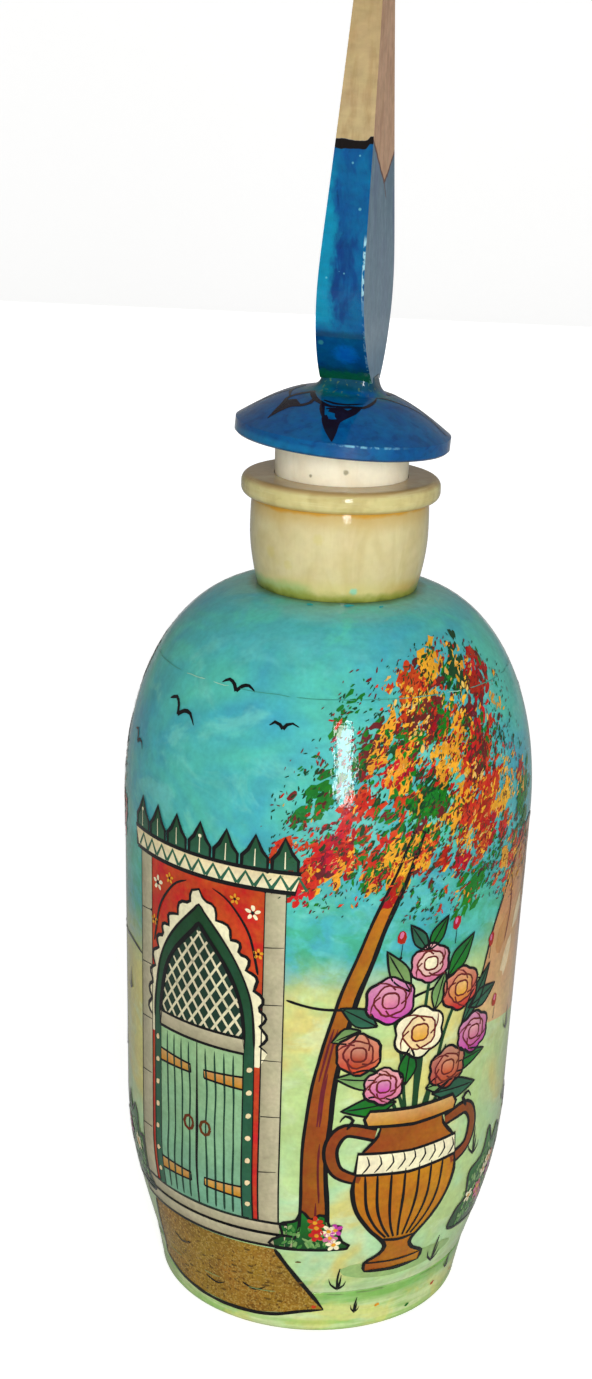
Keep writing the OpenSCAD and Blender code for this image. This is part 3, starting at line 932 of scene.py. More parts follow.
def blade_paint(paints):
    """The finial: blue paint below, bare bone above, and a thin red-brown line along the edge."""
    finish = Finish("blade_paint")
    lean = (0.0, math.radians(1.2), math.radians(-8.7))
    local = finish.stretched((1.0, 1.0, 1.0), lean, (0.0, 0.0, 0.1154))
    x, y, z = finish.axes(local)
    streaks = finish.noise(1.3, 4.0, (1.4, 1.0, 0.22), 0.6)
    blots = finish.noise(5.0, 4.0, (1.0, 1.0, 0.6), 0.62, 0.6)
    fine = finish.noise(0.6, 3.0, (1.0, 1.0, 0.6))

    def part(value, share):
        return finish.maths("MULTIPLY", value, share)

    wide = finish.wide_face(local)
    narrow = finish.maths("SUBTRACT", 1.0, wide)
    strokes = finish.noise(2.2, 4.0, (1.0, 1.0, 0.36), 0.62, 0.6)
    blue = finish.blend(finish.span(strokes, 0.36, 0.6), srgb(0, 97, 146), srgb(0, 78, 135))
    blue = finish.blend(part(finish.span(blots, 0.47, 0.6), 0.9), blue, srgb(0, 56, 118))
    blue = finish.blend(part(finish.span(strokes, 0.6, 0.68), 0.6), blue, srgb(0, 42, 96))
    bulge = part(finish.span(z, 0.022, 0.017), -0.0011)
    left = finish.maths("ADD", bulge, finish.maths("MULTIPLY_ADD", blots, 0.0028, x))
    left = finish.maths("MULTIPLY_ADD", fine, 0.0012, left)
    teal = part(finish.span(left, 0.0012, 0.0001), finish.span(z, 0.027, 0.022))
    teal = part(teal, finish.span(z, 0.0062, 0.0085))
    blue = finish.blend(part(teal, 0.95), blue, srgb(0, 134, 168))

    # Around the joint with the foot the paint is dark green, with one bright lobe of blue
    waver = finish.maths("MULTIPLY_ADD", finish.noise(1.6), 0.0008, z)
    joint = finish.maths("ABSOLUTE", finish.maths("SUBTRACT", waver, 0.0066))
    blue = finish.blend(part(finish.span(joint, 0.0007, 0.0001), 0.6), blue, srgb(0, 50, 70))
    below = finish.span(finish.maths("MULTIPLY_ADD", fine, 0.001, z), 0.0066, 0.006)
    blue = finish.blend(part(below, 0.7), blue, srgb(0, 64, 110))
    blue = finish.blend(part(finish.spot((0.1, -6.6, 119.2), 2.6), 0.8), blue, srgb(0, 90, 172))
    foot = finish.span(finish.maths("MULTIPLY_ADD", fine, 0.0012, z), 0.0032, 0.0022)
    blue = finish.blend(part(foot, 0.9), blue, srgb(0, 56, 72))
    foot = finish.span(finish.maths("MULTIPLY_ADD", fine, 0.0012, z), 0.0025, 0.0018)
    blue = finish.blend(part(foot, 0.85), blue, srgb(2, 92, 52))
    blue = finish.blend(part(finish.spot((-2.74, -6.92, 120.7), 0.6), 0.5), blue, srgb(60, 150, 140))

    # Painted highlight along the front edge's arris, where it would catch the lamp, and a few small pale cyan specks
    edge = finish.maths("MULTIPLY_ADD", z, 0.0336, finish.maths("SUBTRACT", x, 0.00305))
    edge_highlight = part(finish.span(edge, 0.00024, 0.00036), finish.span(finish.noise(0.5, 2.0, (1.0, 1.0, 0.5)), 0.46, 0.56))
    highlight_height = finish.maths("MAXIMUM", part(finish.span(z, 0.0178, 0.0168), finish.span(z, 0.0098, 0.0112)),
                        part(finish.span(z, 0.0112, 0.0098), 0.22))
    edge_highlight = part(part(edge_highlight, highlight_height), narrow)
    blue = finish.blend(part(edge_highlight, 0.85), blue, srgb(164, 214, 224))
    for place, size in (((-0.34, -9.64, 128.75), 0.17), ((-0.9, -9.6, 128.95), 0.13), ((0.8, -7.21, 141.43), 0.2),
                        ((0.05, -7.27, 140.64), 0.22), ((1.1, -8.52, 135.74), 0.3), ((-2.3, -9.4, 128.2), 0.2),
                        ((-0.2, -9.75, 129.4), 0.12), ((2.2, -8.3, 121.6), 0.2), ((2.4, -6.6, 118.9), 0.16)):
        blue = finish.blend(part(finish.spot(place, size), 0.6), blue, srgb(104, 188, 200))
    # On the broad faces, seen almost edge on, the blue paint is painted slate: a painted reflection of the pale
    # surroundings, lighter towards the bottom and darker at the foot
    broad_face_sheen = finish.blend(finish.span(streaks, 0.4, 0.64), srgb(104, 134, 152), srgb(122, 148, 166))
    broad_face_sheen = finish.blend(part(finish.span(blots, 0.5, 0.62), 0.4), broad_face_sheen, srgb(106, 118, 156))
    broad_face_sheen = finish.blend(part(finish.span(z, 0.022, 0.010), 0.6), broad_face_sheen, srgb(136, 160, 176))
    broad_face_sheen = finish.blend(part(finish.span(z, 0.006, 0.002), 0.6), broad_face_sheen, srgb(70, 118, 148))
    blue = finish.blend(wide, blue, broad_face_sheen)

    bone = finish.blend(finish.span(streaks, 0.42, 0.68), srgb(186, 164, 120), srgb(172, 146, 102))
    bone = finish.blend(part(finish.span(z, 0.028, 0.044), 0.6), bone, srgb(176, 150, 104))
    # The bare bone on the broad faces is painted pink, a painted reflection as on the blue
    broad_bone_sheen = finish.blend(finish.span(streaks, 0.4, 0.66), srgb(214, 172, 138), srgb(196, 152, 118))
    bone = finish.blend(wide, bone, broad_bone_sheen)

    # The paint stops in a V on each broad face and in a level band on the narrow edges
    front = finish.maths("MULTIPLY_ADD", finish.maths("SUBTRACT", 0.0012, y), 0.645, 0.0226)
    back = finish.maths("MULTIPLY_ADD", finish.maths("SUBTRACT", y, 0.0012), 0.52, 0.0226)
    stop = finish.maths("MINIMUM", finish.maths("MAXIMUM", front, back), 0.0286)
    stop = finish.maths("MULTIPLY_ADD", part(finish.span(x, 0.0019, 0.0024), narrow), 0.0006, stop)
    border = finish.maths("SUBTRACT", waver, finish.maths("ADD", stop, 0.0004))
    paint = finish.blend(finish.span(border, 0.0, 0.00012), blue, bone)
    band = part(finish.span(border, -0.00112, -0.001), finish.span(border, 0.0001, 0.0))
    paint = finish.blend(part(band, narrow), paint, srgb(16, 9, 8))
    line = finish.maths("ABSOLUTE", finish.maths("SUBTRACT", border, 0.0001))
    line = finish.span(line, 0.00036, 0.0002)
    tail = finish.maths("SUBTRACT", y, finish.maths("MULTIPLY_ADD", z, -0.83, 0.0200))
    tail = part(finish.span(finish.maths("ABSOLUTE", tail), 0.00042, 0.0002), finish.span(z, 0.0207, 0.0212))
    tail = part(tail, finish.span(z, 0.0232, 0.0228))
    line = part(finish.maths("MAXIMUM", line, part(tail, 0.7)), wide)
    paint = finish.blend(part(line, 0.8), paint, srgb(92, 40, 30))
    finish.lacquer()
    finish.plug(finish.shader.inputs["Coat Weight"], finish.maths("MULTIPLY_ADD", wide, -0.7, 1.0))
    relief = finish.maths("MULTIPLY_ADD", blots, 0.6, fine)
    finish.plug(finish.shader.inputs["Normal"], finish.bump(relief, 0.08))
    return finish.colour(finish.varied(paint, 1.2, 0.005, 0.1, (1.0, 1.0, 0.5)))


def finish_node(name, material):
    """Gives a CAD node its finish; its shape stays as it is."""
    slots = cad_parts[name].data.materials
    slots.clear()
    slots.append(material)


# Paints of an autumn crown's solid clumps, and how often each comes
CLUMP_PAINTS = ("scarlet", "crimson", "maroon", "amber", "straw_leaf", "leaf", "leaf_dark")
CLUMP_SHARES = (30, 14, 8, 26, 5, 12, 7)

# Dabs made together in one sheet, for speed
BATCH = 150


def leaf_colour(sheet, paints, across, up):
    """Autumn paints that gather in clumps of one colour."""
    spot = Vector((across * 0.16, up * 0.16, sheet.seed * 1.7))
    clump = noise.noise(spot) + 0.5 * noise.noise(spot * 2.3) + sheet.hand.gauss(0.0, 0.12)
    if clump > 0.3:
        name = sheet.hand.choice(("amber", "amber", "straw_leaf"))
    elif clump > 0.02:
        name = sheet.hand.choice(("scarlet", "scarlet", "crimson", "maroon"))
    elif clump > -0.2:
        name = sheet.hand.choice(("leaf", "maroon", "leaf_dark"))
    else:
        name = sheet.hand.choice(("leaf", "leaf", "leaf_dark"))
    return shaded(sheet, getattr(paints, name), 0.25)


def shaded(sheet, colour, reach):
    """A paint a little lighter or darker than it comes from the pot."""
    light = sheet.hand.uniform(1.0 - reach, 1.0 + reach)
    return tuple(min(channel * light, 1.0) for channel in colour)


def foliage(sheet, paints, lobes, share=1.0, lean=0.95):
    """A crown of autumn leaves: solid clumps of one colour, dry strokes between, flecks outside."""
    hand = sheet.hand
    size = sheet.sizes.dab / MM
    weights = [lobe[2] * lobe[3] for lobe in lobes]

    def spot(spread):
        x, y, wide, high = hand.choices(lobes, weights)[0]
        around, out = hand.uniform(0.0, math.tau), math.sqrt(hand.random()) * spread
        return x + math.cos(around) * out * wide, y + math.sin(around) * out * high

    dabs = []
    cosine, sine = math.cos(lean), math.sin(lean)
    clumps = int(sheet.sizes.clumps * share)
    for clump in range(clumps):
        x, y = spot(0.94)
        paint = getattr(paints, hand.choices(CLUMP_PAINTS, CLUMP_SHARES)[0])
        reach = hand.uniform(0.7, 2.9)
        for _ in range(int(7.0 * reach ** 1.6)):
            along, aside = hand.gauss(0.0, 0.62) * reach, hand.gauss(0.0, 0.36) * reach
            press = hand.uniform(0.6, 1.4)
            dabs.append((
                x + along * cosine - aside * sine, y + along * sine + aside * cosine, 1.5 * press * size,
                0.62 * press * size, lean + hand.gauss(0.0, 0.28), shaded(sheet, paint, 0.14),
                2.0 + 2.0 * clump / clumps, 9, 0.45,
            ))
    # Share of the dabs, reach from the middle, length, width, coat, corners, evenness
    kinds = (
        (0.3, 1.0, 0.95, 0.4, 4, 7, 0.45),
        (0.62, 1.1, 0.62, 0.22, 4.4, 6, 0.5),
        (0.66, 1.28, 0.5, 0.15, 4.8, 5, 0.6),
    )
    for part, spread, long, wide, coat, corners, even in kinds:
        for _ in range(int(sheet.sizes.dabs * share * part)):
            x, y = spot(spread)
            reach = hand.uniform(0.55, 1.3) * size
            colour = leaf_colour(sheet, paints, x, y)
            if spread > 1.2:
                colour = tuple(paints.leaf_dark if hand.random() < 0.6 else paints.maroon)
            dabs.append((x, y, long * reach, wide * reach, lean + hand.gauss(0.0, 0.38), colour, coat,
                         corners, even))
    for first in range(0, len(dabs), BATCH):
        batch = Sheet(sheet.sizes, sheet.seed)
        batch.hand = hand
        for dab in dabs[first:first + BATCH]:
            batch.dab(*dab)
        sheet.absorb(batch)


def trunk(sheet, paints, line, wide):
    """A tapering trunk with bark strokes and an ink edge on its shaded side."""
    spine = curve(line, 1.2)
    count = len(spine)
    left, right = [], []
    for i, point in enumerate(spine):
        half = wide * (1.0 - 0.62 * i / count) * 0.5
        if i < 4:
            half *= 1.0 + 0.5 * (1.0 - i / 4.0) ** 2
        left.append((point.x - half, point.y))
        right.append((point.x + half, point.y))
    sheet.fill(left + right[::-1], paints.rust, 2, top=paints.maroon, across=paints.ochre)
    for part in range(5):
        start = sheet.hand.randint(0, count // 2)
        stop = min(start + sheet.hand.randint(5, 12), count - 1)
        shift = sheet.hand.uniform(-0.3, 0.3)
        stroke = [left[i][0] * (0.5 - shift) + right[i][0] * (0.5 + shift) for i in range(start, stop)]
        sheet.ink(
            [(x, left[start + i][1]) for i, x in enumerate(stroke)],
            paints.maroon, 3, 0.28, False
        )
    sheet.ink(left, paints.ink, 4, 0.4, False)
    sheet.ink(right, paints.ink, 4, 0.62, False)


def tuft(sheet, paints, across, up, size=1.0, blades=3):
    """A tuft of grass: one upright line and a few short bent blades."""
    ink = paints.ink
    sheet.ink([(across, up), (across - 0.1, up + 2.1 * size), (across + 0.1, up + 4.3 * size)],
              ink, 4, 0.3)
    for blade in range(blades):
        way = (-1.0, 1.0, 0.45)[blade % 3]
        reach = (1.5, 1.3, 1.0)[blade % 3] * size
        high = (2.3, 1.7, 3.0)[blade % 3] * size
        sheet.ink([(across + 0.1 * way, up + 0.2), (across + way * reach * 0.75, up + 0.5 * high),
                   (across + way * reach, up + high)], ink, 4, 0.32,
                  ends=(1.0, 0.1))


def bird(sheet, paints, across, up, size, turn=0.0):
    """A bird far off, in two strokes."""
    cosine, sine = math.cos(turn), math.sin(turn)

    def wing(points):
        return [(across + (x * cosine - y * sine) * size * side.squeeze(up),
                 up + (x * sine + y * cosine) * size) for x, y in points]
    sheet.ink(wing([(-2.6, 0.9), (-1.5, 1.5), (-0.5, 0.9), (0.0, 0.0)]), paints.ink, 4, 0.42,
              ends=(0.3, 1.0))
    sheet.ink(wing([(0.0, 0.0), (0.8, 0.8), (1.9, 1.0), (3.0, 0.2)]), paints.ink, 4, 0.5,
              ends=(1.0, 0.2))


def arch(half, spring, peak, parts=14):
    """Points of a pointed arch from its left springing over the peak to its right one."""
    rise = peak - spring
    points = []
    for i in range(parts + 1):
        t = i / parts
        u = 1.0 - t
        guides = ((-half, spring), (-half, spring + 0.62 * rise), (-0.42 * half, peak - 0.22 * rise),
                  (0.0, peak))
        weights = (u ** 3, 3 * u * u * t, 3 * u * t * t, t ** 3)
        points.append(tuple(sum(w * g[axis] for w, g in zip(weights, guides)) for axis in (0, 1)))
    return points + [(-x, y) for x, y in points[-2::-1]]


def rose(sheet, paints, across, up, size, petal, heart, coat=6):
    """A full blossom of lobed petals with curled strokes towards its heart."""
    hand = sheet.hand
    turn = hand.uniform(0.0, math.tau)
    for ring, (reach, count, shade) in enumerate(((1.0, 6, petal), (0.66, 5, mixed(petal, heart, 0.5)),
                                                  (0.36, 4, heart))):
        outline = []
        for i in range(count * 4):
            around = math.tau * i / (count * 4) + turn + ring
            lobe = 0.86 + 0.14 * abs(math.sin(around * count * 0.5))
            outline.append((across + math.cos(around) * size * reach * lobe,
                            up + math.sin(around) * size * reach * lobe * 0.92))
        sheet.fill(outline, shade, coat + ring, top=mixed(shade, paints.cream, 0.3), rounded=True,
                   step=0.5, stray=0.6)
        sheet.ink(outline, paints.ink if ring == 0 else paints.maroon, coat + ring + 1,
                  0.34 if ring == 0 else 0.24, closed=True, stray=0.6, step=0.5)
    for i in range(4):
        around = turn + math.tau * i / 4 + 0.5
        sheet.ink([(across + math.cos(around + k * 0.35) * size * (0.45 + 0.16 * k),
                    up + math.sin(around + k * 0.35) * size * (0.45 + 0.16 * k) * 0.92)
                   for k in range(4)], paints.maroon, coat + 3, 0.22, ends=(1.0, 0.2))


def leaf(sheet, paints, start, end, wide, light, coat=5):
    """A pointed leaf with a midrib."""
    start, end = Vector(start), Vector(end)
    along = end - start
    out = Vector((-along.y, along.x)).normalized() * wide
    middle = start.lerp(end, 0.45)
    outline = [start, middle + out, end, middle - out]
    shape = curve([outline[0], outline[1], outline[2]], 0.6)[:-1]
    shape += curve([outline[2], outline[3], outline[0]], 0.6)[:-1]
    sheet.fill(shape, light, coat, top=mixed(light, paints.leaf_dark, 0.5), stray=0.5)
    sheet.ink(shape, paints.ink, coat + 1, 0.26, False, True, stray=0.5)
    sheet.ink([start, middle, start.lerp(end, 0.9)], paints.ink, coat + 1, 0.2, stray=0.5)


def draw_hills(sheet, paints):
    """Tan hills from the right of the front round to the back, with a thin ink crest."""
    crests = (
        ([(23, 47), (26, 55), (30, 61.5), (35, 64.5), (40, 62), (45, 55), (50, 50.5), (56, 49)], 40, 0),
        ([(46, 47), (51, 54), (57, 58), (63, 56.5), (69, 51), (76, 49), (82, 51.5), (88, 50), (94, 47)], 41, 0),
        ([(-72, 46), (-66, 52), (-60, 56.5), (-54, 57), (-48, 52), (-43, 48.5), (-38, 47)], 41, 9),
    )
    for line, low, taper in crests:
        crest = curve(line, 1.0)
        shape = [tuple(point) for point in crest]
        shape += [(line[-1][0] - taper, low + 1), ((line[0][0] + line[-1][0]) / 2, low - 1.5), (line[0][0], low + 1)]
        sheet.fill(shape, paints.hill_light, 1, top=paints.hill)
        sheet.ink(line, paints.ink, 3, 0.36)
    for x, y, turn in ((31, 57, 0.9), (35, 60, 1.2), (38, 56, 2.0), (28, 52, 1.1), (58, 54, 1.4),
                       (63, 52, 1.9), (-57, 53, 1.2), (-52, 51, 1.9)):
        sheet.dab(x, y, 6.0, 2.4, turn, mixed(paints.hill, paints.hill_light, 0.25), 2, 9, 0.75)
        sheet.dab(x + 1.5, y - 4, 5.0, 2.0, turn, mixed(paints.hill_light, paints.cream, 0.45), 2, 9, 0.75)
    for line in (
        [(33.5, 63.5), (34.6, 59), (34.0, 54), (35.5, 49)],
        [(37, 63.4), (39.4, 58.5), (41.2, 53), (44, 49)],
        [(29, 59.5), (29.4, 54.5), (28.2, 50)],
        [(57, 58), (58.2, 54), (57.4, 51)],
        [(-58, 56.8), (-57, 53), (-57.8, 50)],
    ):
        sheet.ink(line, mixed(paints.rust, paints.ink, 0.35), 3, 0.26)
    sheet.ink([(-39, 46.6), (-30, 47.4), (-25.6, 46.8)], paints.ink, 3, 0.34)
    sheet.ink([(-3, 47.2), (1.5, 46.4), (10, 46.9), (17, 48.2), (23.2, 47.4)], paints.ink, 3, 0.34)


def draw_gate(sheet, paints):
    """A garden gate with a pointed arch: red spandrels, a scalloped band, lattice and doors."""
    middle = -14.5

    def put(points):
        return moved(points, middle)

    ink = paints.ink
    line = sheet.sizes.ink_width / MM
    stone_light = mixed(paints.stone, paints.cream, 0.35)
    for half, low, high in ((13.2, 13.6, 15.6), (12.4, 15.6, 17.4)):
        slab = [(-half, low), (half, low), (half, high), (-half, high)]
        sheet.fill(put(slab), paints.stone, 3, top=stone_light)
        sheet.ink(put(slab), ink, 5, line, False, True)
    wall = [(-11.2, 17.4), (11.2, 17.4), (11.2, 60.6), (-11.2, 60.6)]
    sheet.fill(put(wall), paints.vermilion, 3, top=paints.scarlet)
    for x in (-9.9, 9.9):
        post = [(x - 1.3, 17.4), (x + 1.3, 17.4), (x + 1.3, 60.6), (x - 1.3, 60.6)]
        sheet.fill(put(post), paints.stone, 4, across=stone_light)
        sheet.ink(put([(x - 1.3, 17.4), (x - 1.3, 60.6)]), ink, 6, line, False)
        sheet.ink(put([(x + 1.3, 17.4), (x + 1.3, 60.6)]), ink, 6, line, False)
        for y in (24.5, 31.8, 39.0, 46.3, 53.4):
            sheet.ink(put([(x - 1.2, y), (x + 1.2, y + 0.25)]), ink, 6, 0.28, False)
    inner = arch(6.6, 40.0, 54.6)
    green = arch(7.9, 40.0, 57.0)
    outer = arch(8.5, 40.0, 58.2)
    edge = curve(outer, 0.5)
    scallops = []
    for i, point in enumerate(edge):
        along = edge[min(i + 1, len(edge) - 1)] - edge[max(i - 1, 0)]
        out = Vector((-along.y, along.x)).normalized() * 1.0 * abs(math.sin(i * 0.5 * math.pi / 2.35))
        scallops.append((point.x + out.x, point.y + out.y))
    sheet.fill(put(scallops + [(8.5, 38.0), (-8.5, 38.0)]), paints.cream, 4, stray=0.6)
    sheet.ink(put(scallops), ink, 6, line, False, stray=0.6)
    sheet.fill(put([(-7.9, 17.4), *green, (7.9, 17.4)]), paints.bottle_green, 5, top=paints.leaf_dark)
    sheet.ink(put(green), ink, 7, 0.3)
    sheet.fill(put([(-6.6, 17.4), *inner, (6.6, 17.4)]), mixed(paints.bottle_green, ink, 0.72), 6)
    sheet.ink(put([(-7.9, 17.4), (-7.9, 40.2)]), ink, 7, line, False)
    sheet.ink(put([(7.9, 17.4), (7.9, 40.2)]), ink, 7, line, False)
    for x in (-7.25, 7.25):
        for y in range(19, 40, 3):
            sheet.dab(middle + x, y + 0.6, 0.8, 0.62, 0.8, mixed(paints.cream, paints.amber, 0.3), 7, 8, 0.85)

    # The lattice over the doors, cut off by the arch
    bars = 11
    for way in (-1.0, 1.0):
        for i in range(-bars, bars + 1):
            start = None
            run = []
            for k in range(60):
                y = 41.2 + k * 0.26
                x = way * (y - 41.2) * 0.72 + i * 1.75
                if abs(x) < 6.3 and inside_arch(x, y, 6.4, 40.0, 54.4):
                    run.append((x, y))
            if len(run) > 4:
                sheet.ink(put([run[0], run[len(run) // 2], run[-1]]),
                          mixed(paints.cream, paints.stone, 0.35), 7, 0.3, False, ends=(1.0, 1.0),
                          stray=0.4, blob=0.0)
    sheet.ink(put(inner), ink, 8, 0.55)
    beam = [(-6.6, 39.4), (6.6, 39.4), (6.6, 41.4), (-6.6, 41.4)]
    sheet.fill(put(beam), paints.stone, 8, top=stone_light)
    sheet.ink(put(beam), ink, 9, line, False, True)

    # Two doors of green boards
    for way in (-1.0, 1.0):
        door = [(0.0, 17.6), (way * 6.5, 17.6), (way * 6.5, 39.4), (0.0, 39.4)]
        sheet.fill(put(door), paints.teal, 7, top=mixed(paints.teal, paints.meadow, 0.5))
        for i in range(1, 5):
            x = way * 6.5 * i / 5.0
            sheet.ink(put([(x, 17.9), (x + 0.15, 28.0), (x - 0.05, 39.0)]),
                      mixed(ink, paints.bottle_green, 0.4), 8, 0.26)
        for y in (21.0, 35.6):
            strap = [(way * 1.0, y - 0.55), (way * 6.5, y - 0.8), (way * 6.5, y + 0.8), (way * 1.0, y + 0.55)]
            sheet.fill(put(strap), paints.ochre, 8, top=mixed(paints.ochre, paints.cream, 0.2))
            sheet.ink(put(strap), ink, 9, 0.26, False, True)
        ring = [(way * 1.3 + 0.75 * math.cos(a * 0.785), 28.4 + 0.9 * math.sin(a * 0.785)) for a in range(8)]
        sheet.ink(put(ring), mixed(paints.rust, ink, 0.5), 9, 0.36, closed=True, stray=0.3)
    sheet.ink(put([(0.0, 17.6), (0.1, 28.5), (0.0, 39.4)]), ink, 9, 0.5, False)
    sheet.ink(put([(-6.5, 17.6), (-6.5, 39.4)]), ink, 9, 0.36, False)
    sheet.ink(put([(6.5, 17.6), (6.5, 39.4)]), ink, 9, 0.36, False)

    # Sprays of flowers in the red spandrels, and fold lines over them
    for way in (-1.0, 1.0):
        spray = [(way * 8.0, 50.0), (way * 6.8, 54.6), (way * 4.2, 58.4), (way * 2.0, 59.6)]
        sheet.ink(put(spray), ink, 6, 0.3)
        for x, y, size in ((7.2, 57.6, 1.0), (4.9, 58.9, 0.7), (8.0, 52.6, 0.72)):
            for petal in range(5):
                around = petal * math.tau / 5 + 0.3
                sheet.dab(middle + way * x + math.cos(around) * size * 0.62,
                          y + math.sin(around) * size * 0.62, size * 0.75, size * 0.5, around,
                          paints.cream if size > 0.9 else paints.amber, 6, 8, 0.85)
            sheet.dab(middle + way * x, y, size * 0.5, size * 0.5, 0.0, ink, 7, 8, 0.85)

    # Cornice with a row of pointed battlements
    cornice = [(-12.2, 60.6), (12.2, 60.6), (12.8, 63.0), (-12.8, 63.0)]
    sheet.fill(put(cornice), paints.cream, 5, top=mixed(paints.cream, paints.straw_leaf, 0.4))
    for i in range(12):
        x = -11.6 + i * 2.1
        sheet.ink(put([(x, 61.0), (x + 1.0, 62.6), (x + 2.0, 61.0)]), paints.bottle_green, 6, 0.4,
                  False, ends=(1.0, 1.0), stray=0.3)
    sheet.ink(put(cornice), ink, 7, 0.5, False, True)
    for i in range(7):
        x = -12.4 + i * 3.62
        merlon = [(x, 63.0), (x, 64.6), (x + 0.7, 65.4), (x + 1.55, 67.2), (x + 2.4, 65.4),
                  (x + 3.1, 64.6), (x + 3.1, 63.0)]
        sheet.fill(put(merlon), paints.bottle_green, 5, top=paints.leaf_dark, stray=0.6)
        sheet.ink(put(merlon), ink, 7, 0.42, False, ends=(0.8, 0.8), stray=0.6)
        sheet.ink(put([(x + 1.55, 63.5), (x + 1.55, 65.6)]), paints.cream, 7, 0.34, False,
                  stray=0.6)


def inside_arch(x, y, half, spring, peak):
    """Whether a point lies under a pointed arch."""
    if y < spring:
        return abs(x) < half
    edge = [point for point in arch(half, spring, peak) if point[0] <= 0.0]
    for low, high in zip(edge, edge[1:]):
        if low[1] <= y <= high[1]:
            part = (y - low[1]) / max(high[1] - low[1], 1e-6)
            return abs(x) < -(low[0] + (high[0] - low[0]) * part)
    return False


def draw_urn(sheet, paints):
    """A fluted garden urn of ochre and rust with a white band."""
    middle = 13.5

    def put(points):
        return moved(points, middle)

    ink = paints.ink
    shade = [(-7.5, 9.2), (0.0, 8.0), (9.5, 8.8), (11.5, 10.0), (6.0, 11.0), (-6.5, 10.8)]
    sheet.fill(put(shade), mixed(paints.meadow, paints.leaf, 0.35), 2, rounded=True)
    half = [(4.4, 9.6), (4.6, 11.0), (2.6, 12.2), (1.9, 13.4), (2.7, 14.6), (4.8, 16.6), (6.7, 19.4),
            (7.5, 22.6), (7.1, 25.0)]
    body = curve(half, 0.7)
    shape = [(x, y) for x, y in body] + [(-x, y) for x, y in body[::-1]]
    sheet.fill(put(shape), paints.rust, 4, across=paints.ochre)
    belly = [(x, y) for x, y in shape if y > 14.4]
    sheet.fill(put(belly), mixed(paints.ochre, paints.rust, 0.35), 5, across=paints.ochre)
    sheet.ink(put([(x, y) for x, y in body]), ink, 7, 0.5, False)
    sheet.ink(put([(-x, y) for x, y in body]), ink, 7, 0.5, False)
    sheet.ink(put([(-4.4, 9.6), (0, 9.3), (4.4, 9.6)]), ink, 7, 0.55)
    sheet.ink(put([(-4.6, 11.0), (0, 10.7), (4.6, 11.0)]), ink, 7, 0.3)
    sheet.ink(put([(-2.7, 14.6), (0, 14.2), (2.7, 14.6)]), ink, 7, 0.45)
    for part in (-0.82, -0.6, -0.34, -0.08, 0.2, 0.46, 0.72):
        flute = [(part * 2.4, 14.8), (part * 4.9, 17.0), (part * 6.7, 20.0), (part * 7.3, 24.8)]
        sheet.ink(put(flute), ink, 7, 0.34, ends=(0.9, 0.3))
    band = [(-7.3, 24.8), (0.0, 24.2), (7.3, 24.8), (7.0, 27.6), (0.0, 27.1), (-7.0, 27.6)]
    sheet.fill(put(band), paints.cream, 6, rounded=False)
    for i in range(9):
        x = -6.4 + i * 1.55
        sheet.ink(put([(x, 24.9), (x + 0.9, 26.0), (x + 0.5, 27.2)]), ink, 7, 0.24)
    sheet.ink(put(band), ink, 7, 0.42, False, True)
    throat = [(-6.6, 27.6), (0.0, 27.1), (6.6, 27.6), (4.7, 29.6), (4.4, 31.0), (-4.4, 31.0), (-4.7, 29.6)]
    sheet.fill(put(throat), paints.rust, 6, across=mixed(paints.rust, paints.ochre, 0.5))
    sheet.ink(put([(-6.6, 27.6), (-4.7, 29.6), (-4.4, 31.0)]), ink, 8, 0.45)
    sheet.ink(put([(6.6, 27.6), (4.7, 29.6), (4.4, 31.0)]), ink, 8, 0.45)
    lip = [(-6.2, 31.0), (0.0, 30.6), (6.2, 31.0), (6.6, 32.0), (5.9, 33.0), (0.0, 32.8), (-5.9, 33.0), (-6.6, 32.0)]
    sheet.fill(put(lip), paints.ochre, 7, top=mixed(paints.ochre, paints.cream, 0.25))
    sheet.ink(put(lip), ink, 8, 0.42, False, True)
    for way in (-1.0, 1.0):
        handle = [(way * 6.6, 24.0), (way * 9.6, 25.4), (way * 10.4, 28.4), (way * 8.8, 30.6),
                  (way * 5.0, 29.8)]
        sheet.ink(put(handle), ink, 4, 1.8, ends=(1.0, 1.0), blob=0.0)
        sheet.ink(put(handle), paints.rust, 5, 1.0, ends=(1.0, 1.0), blob=0.0)
        curl = [(way * 8.7, 30.8), (way * 8.0, 32.0), (way * 9.0, 32.6), (way * 9.6, 31.8)]
        sheet.ink(put(curl), ink, 7, 0.5)


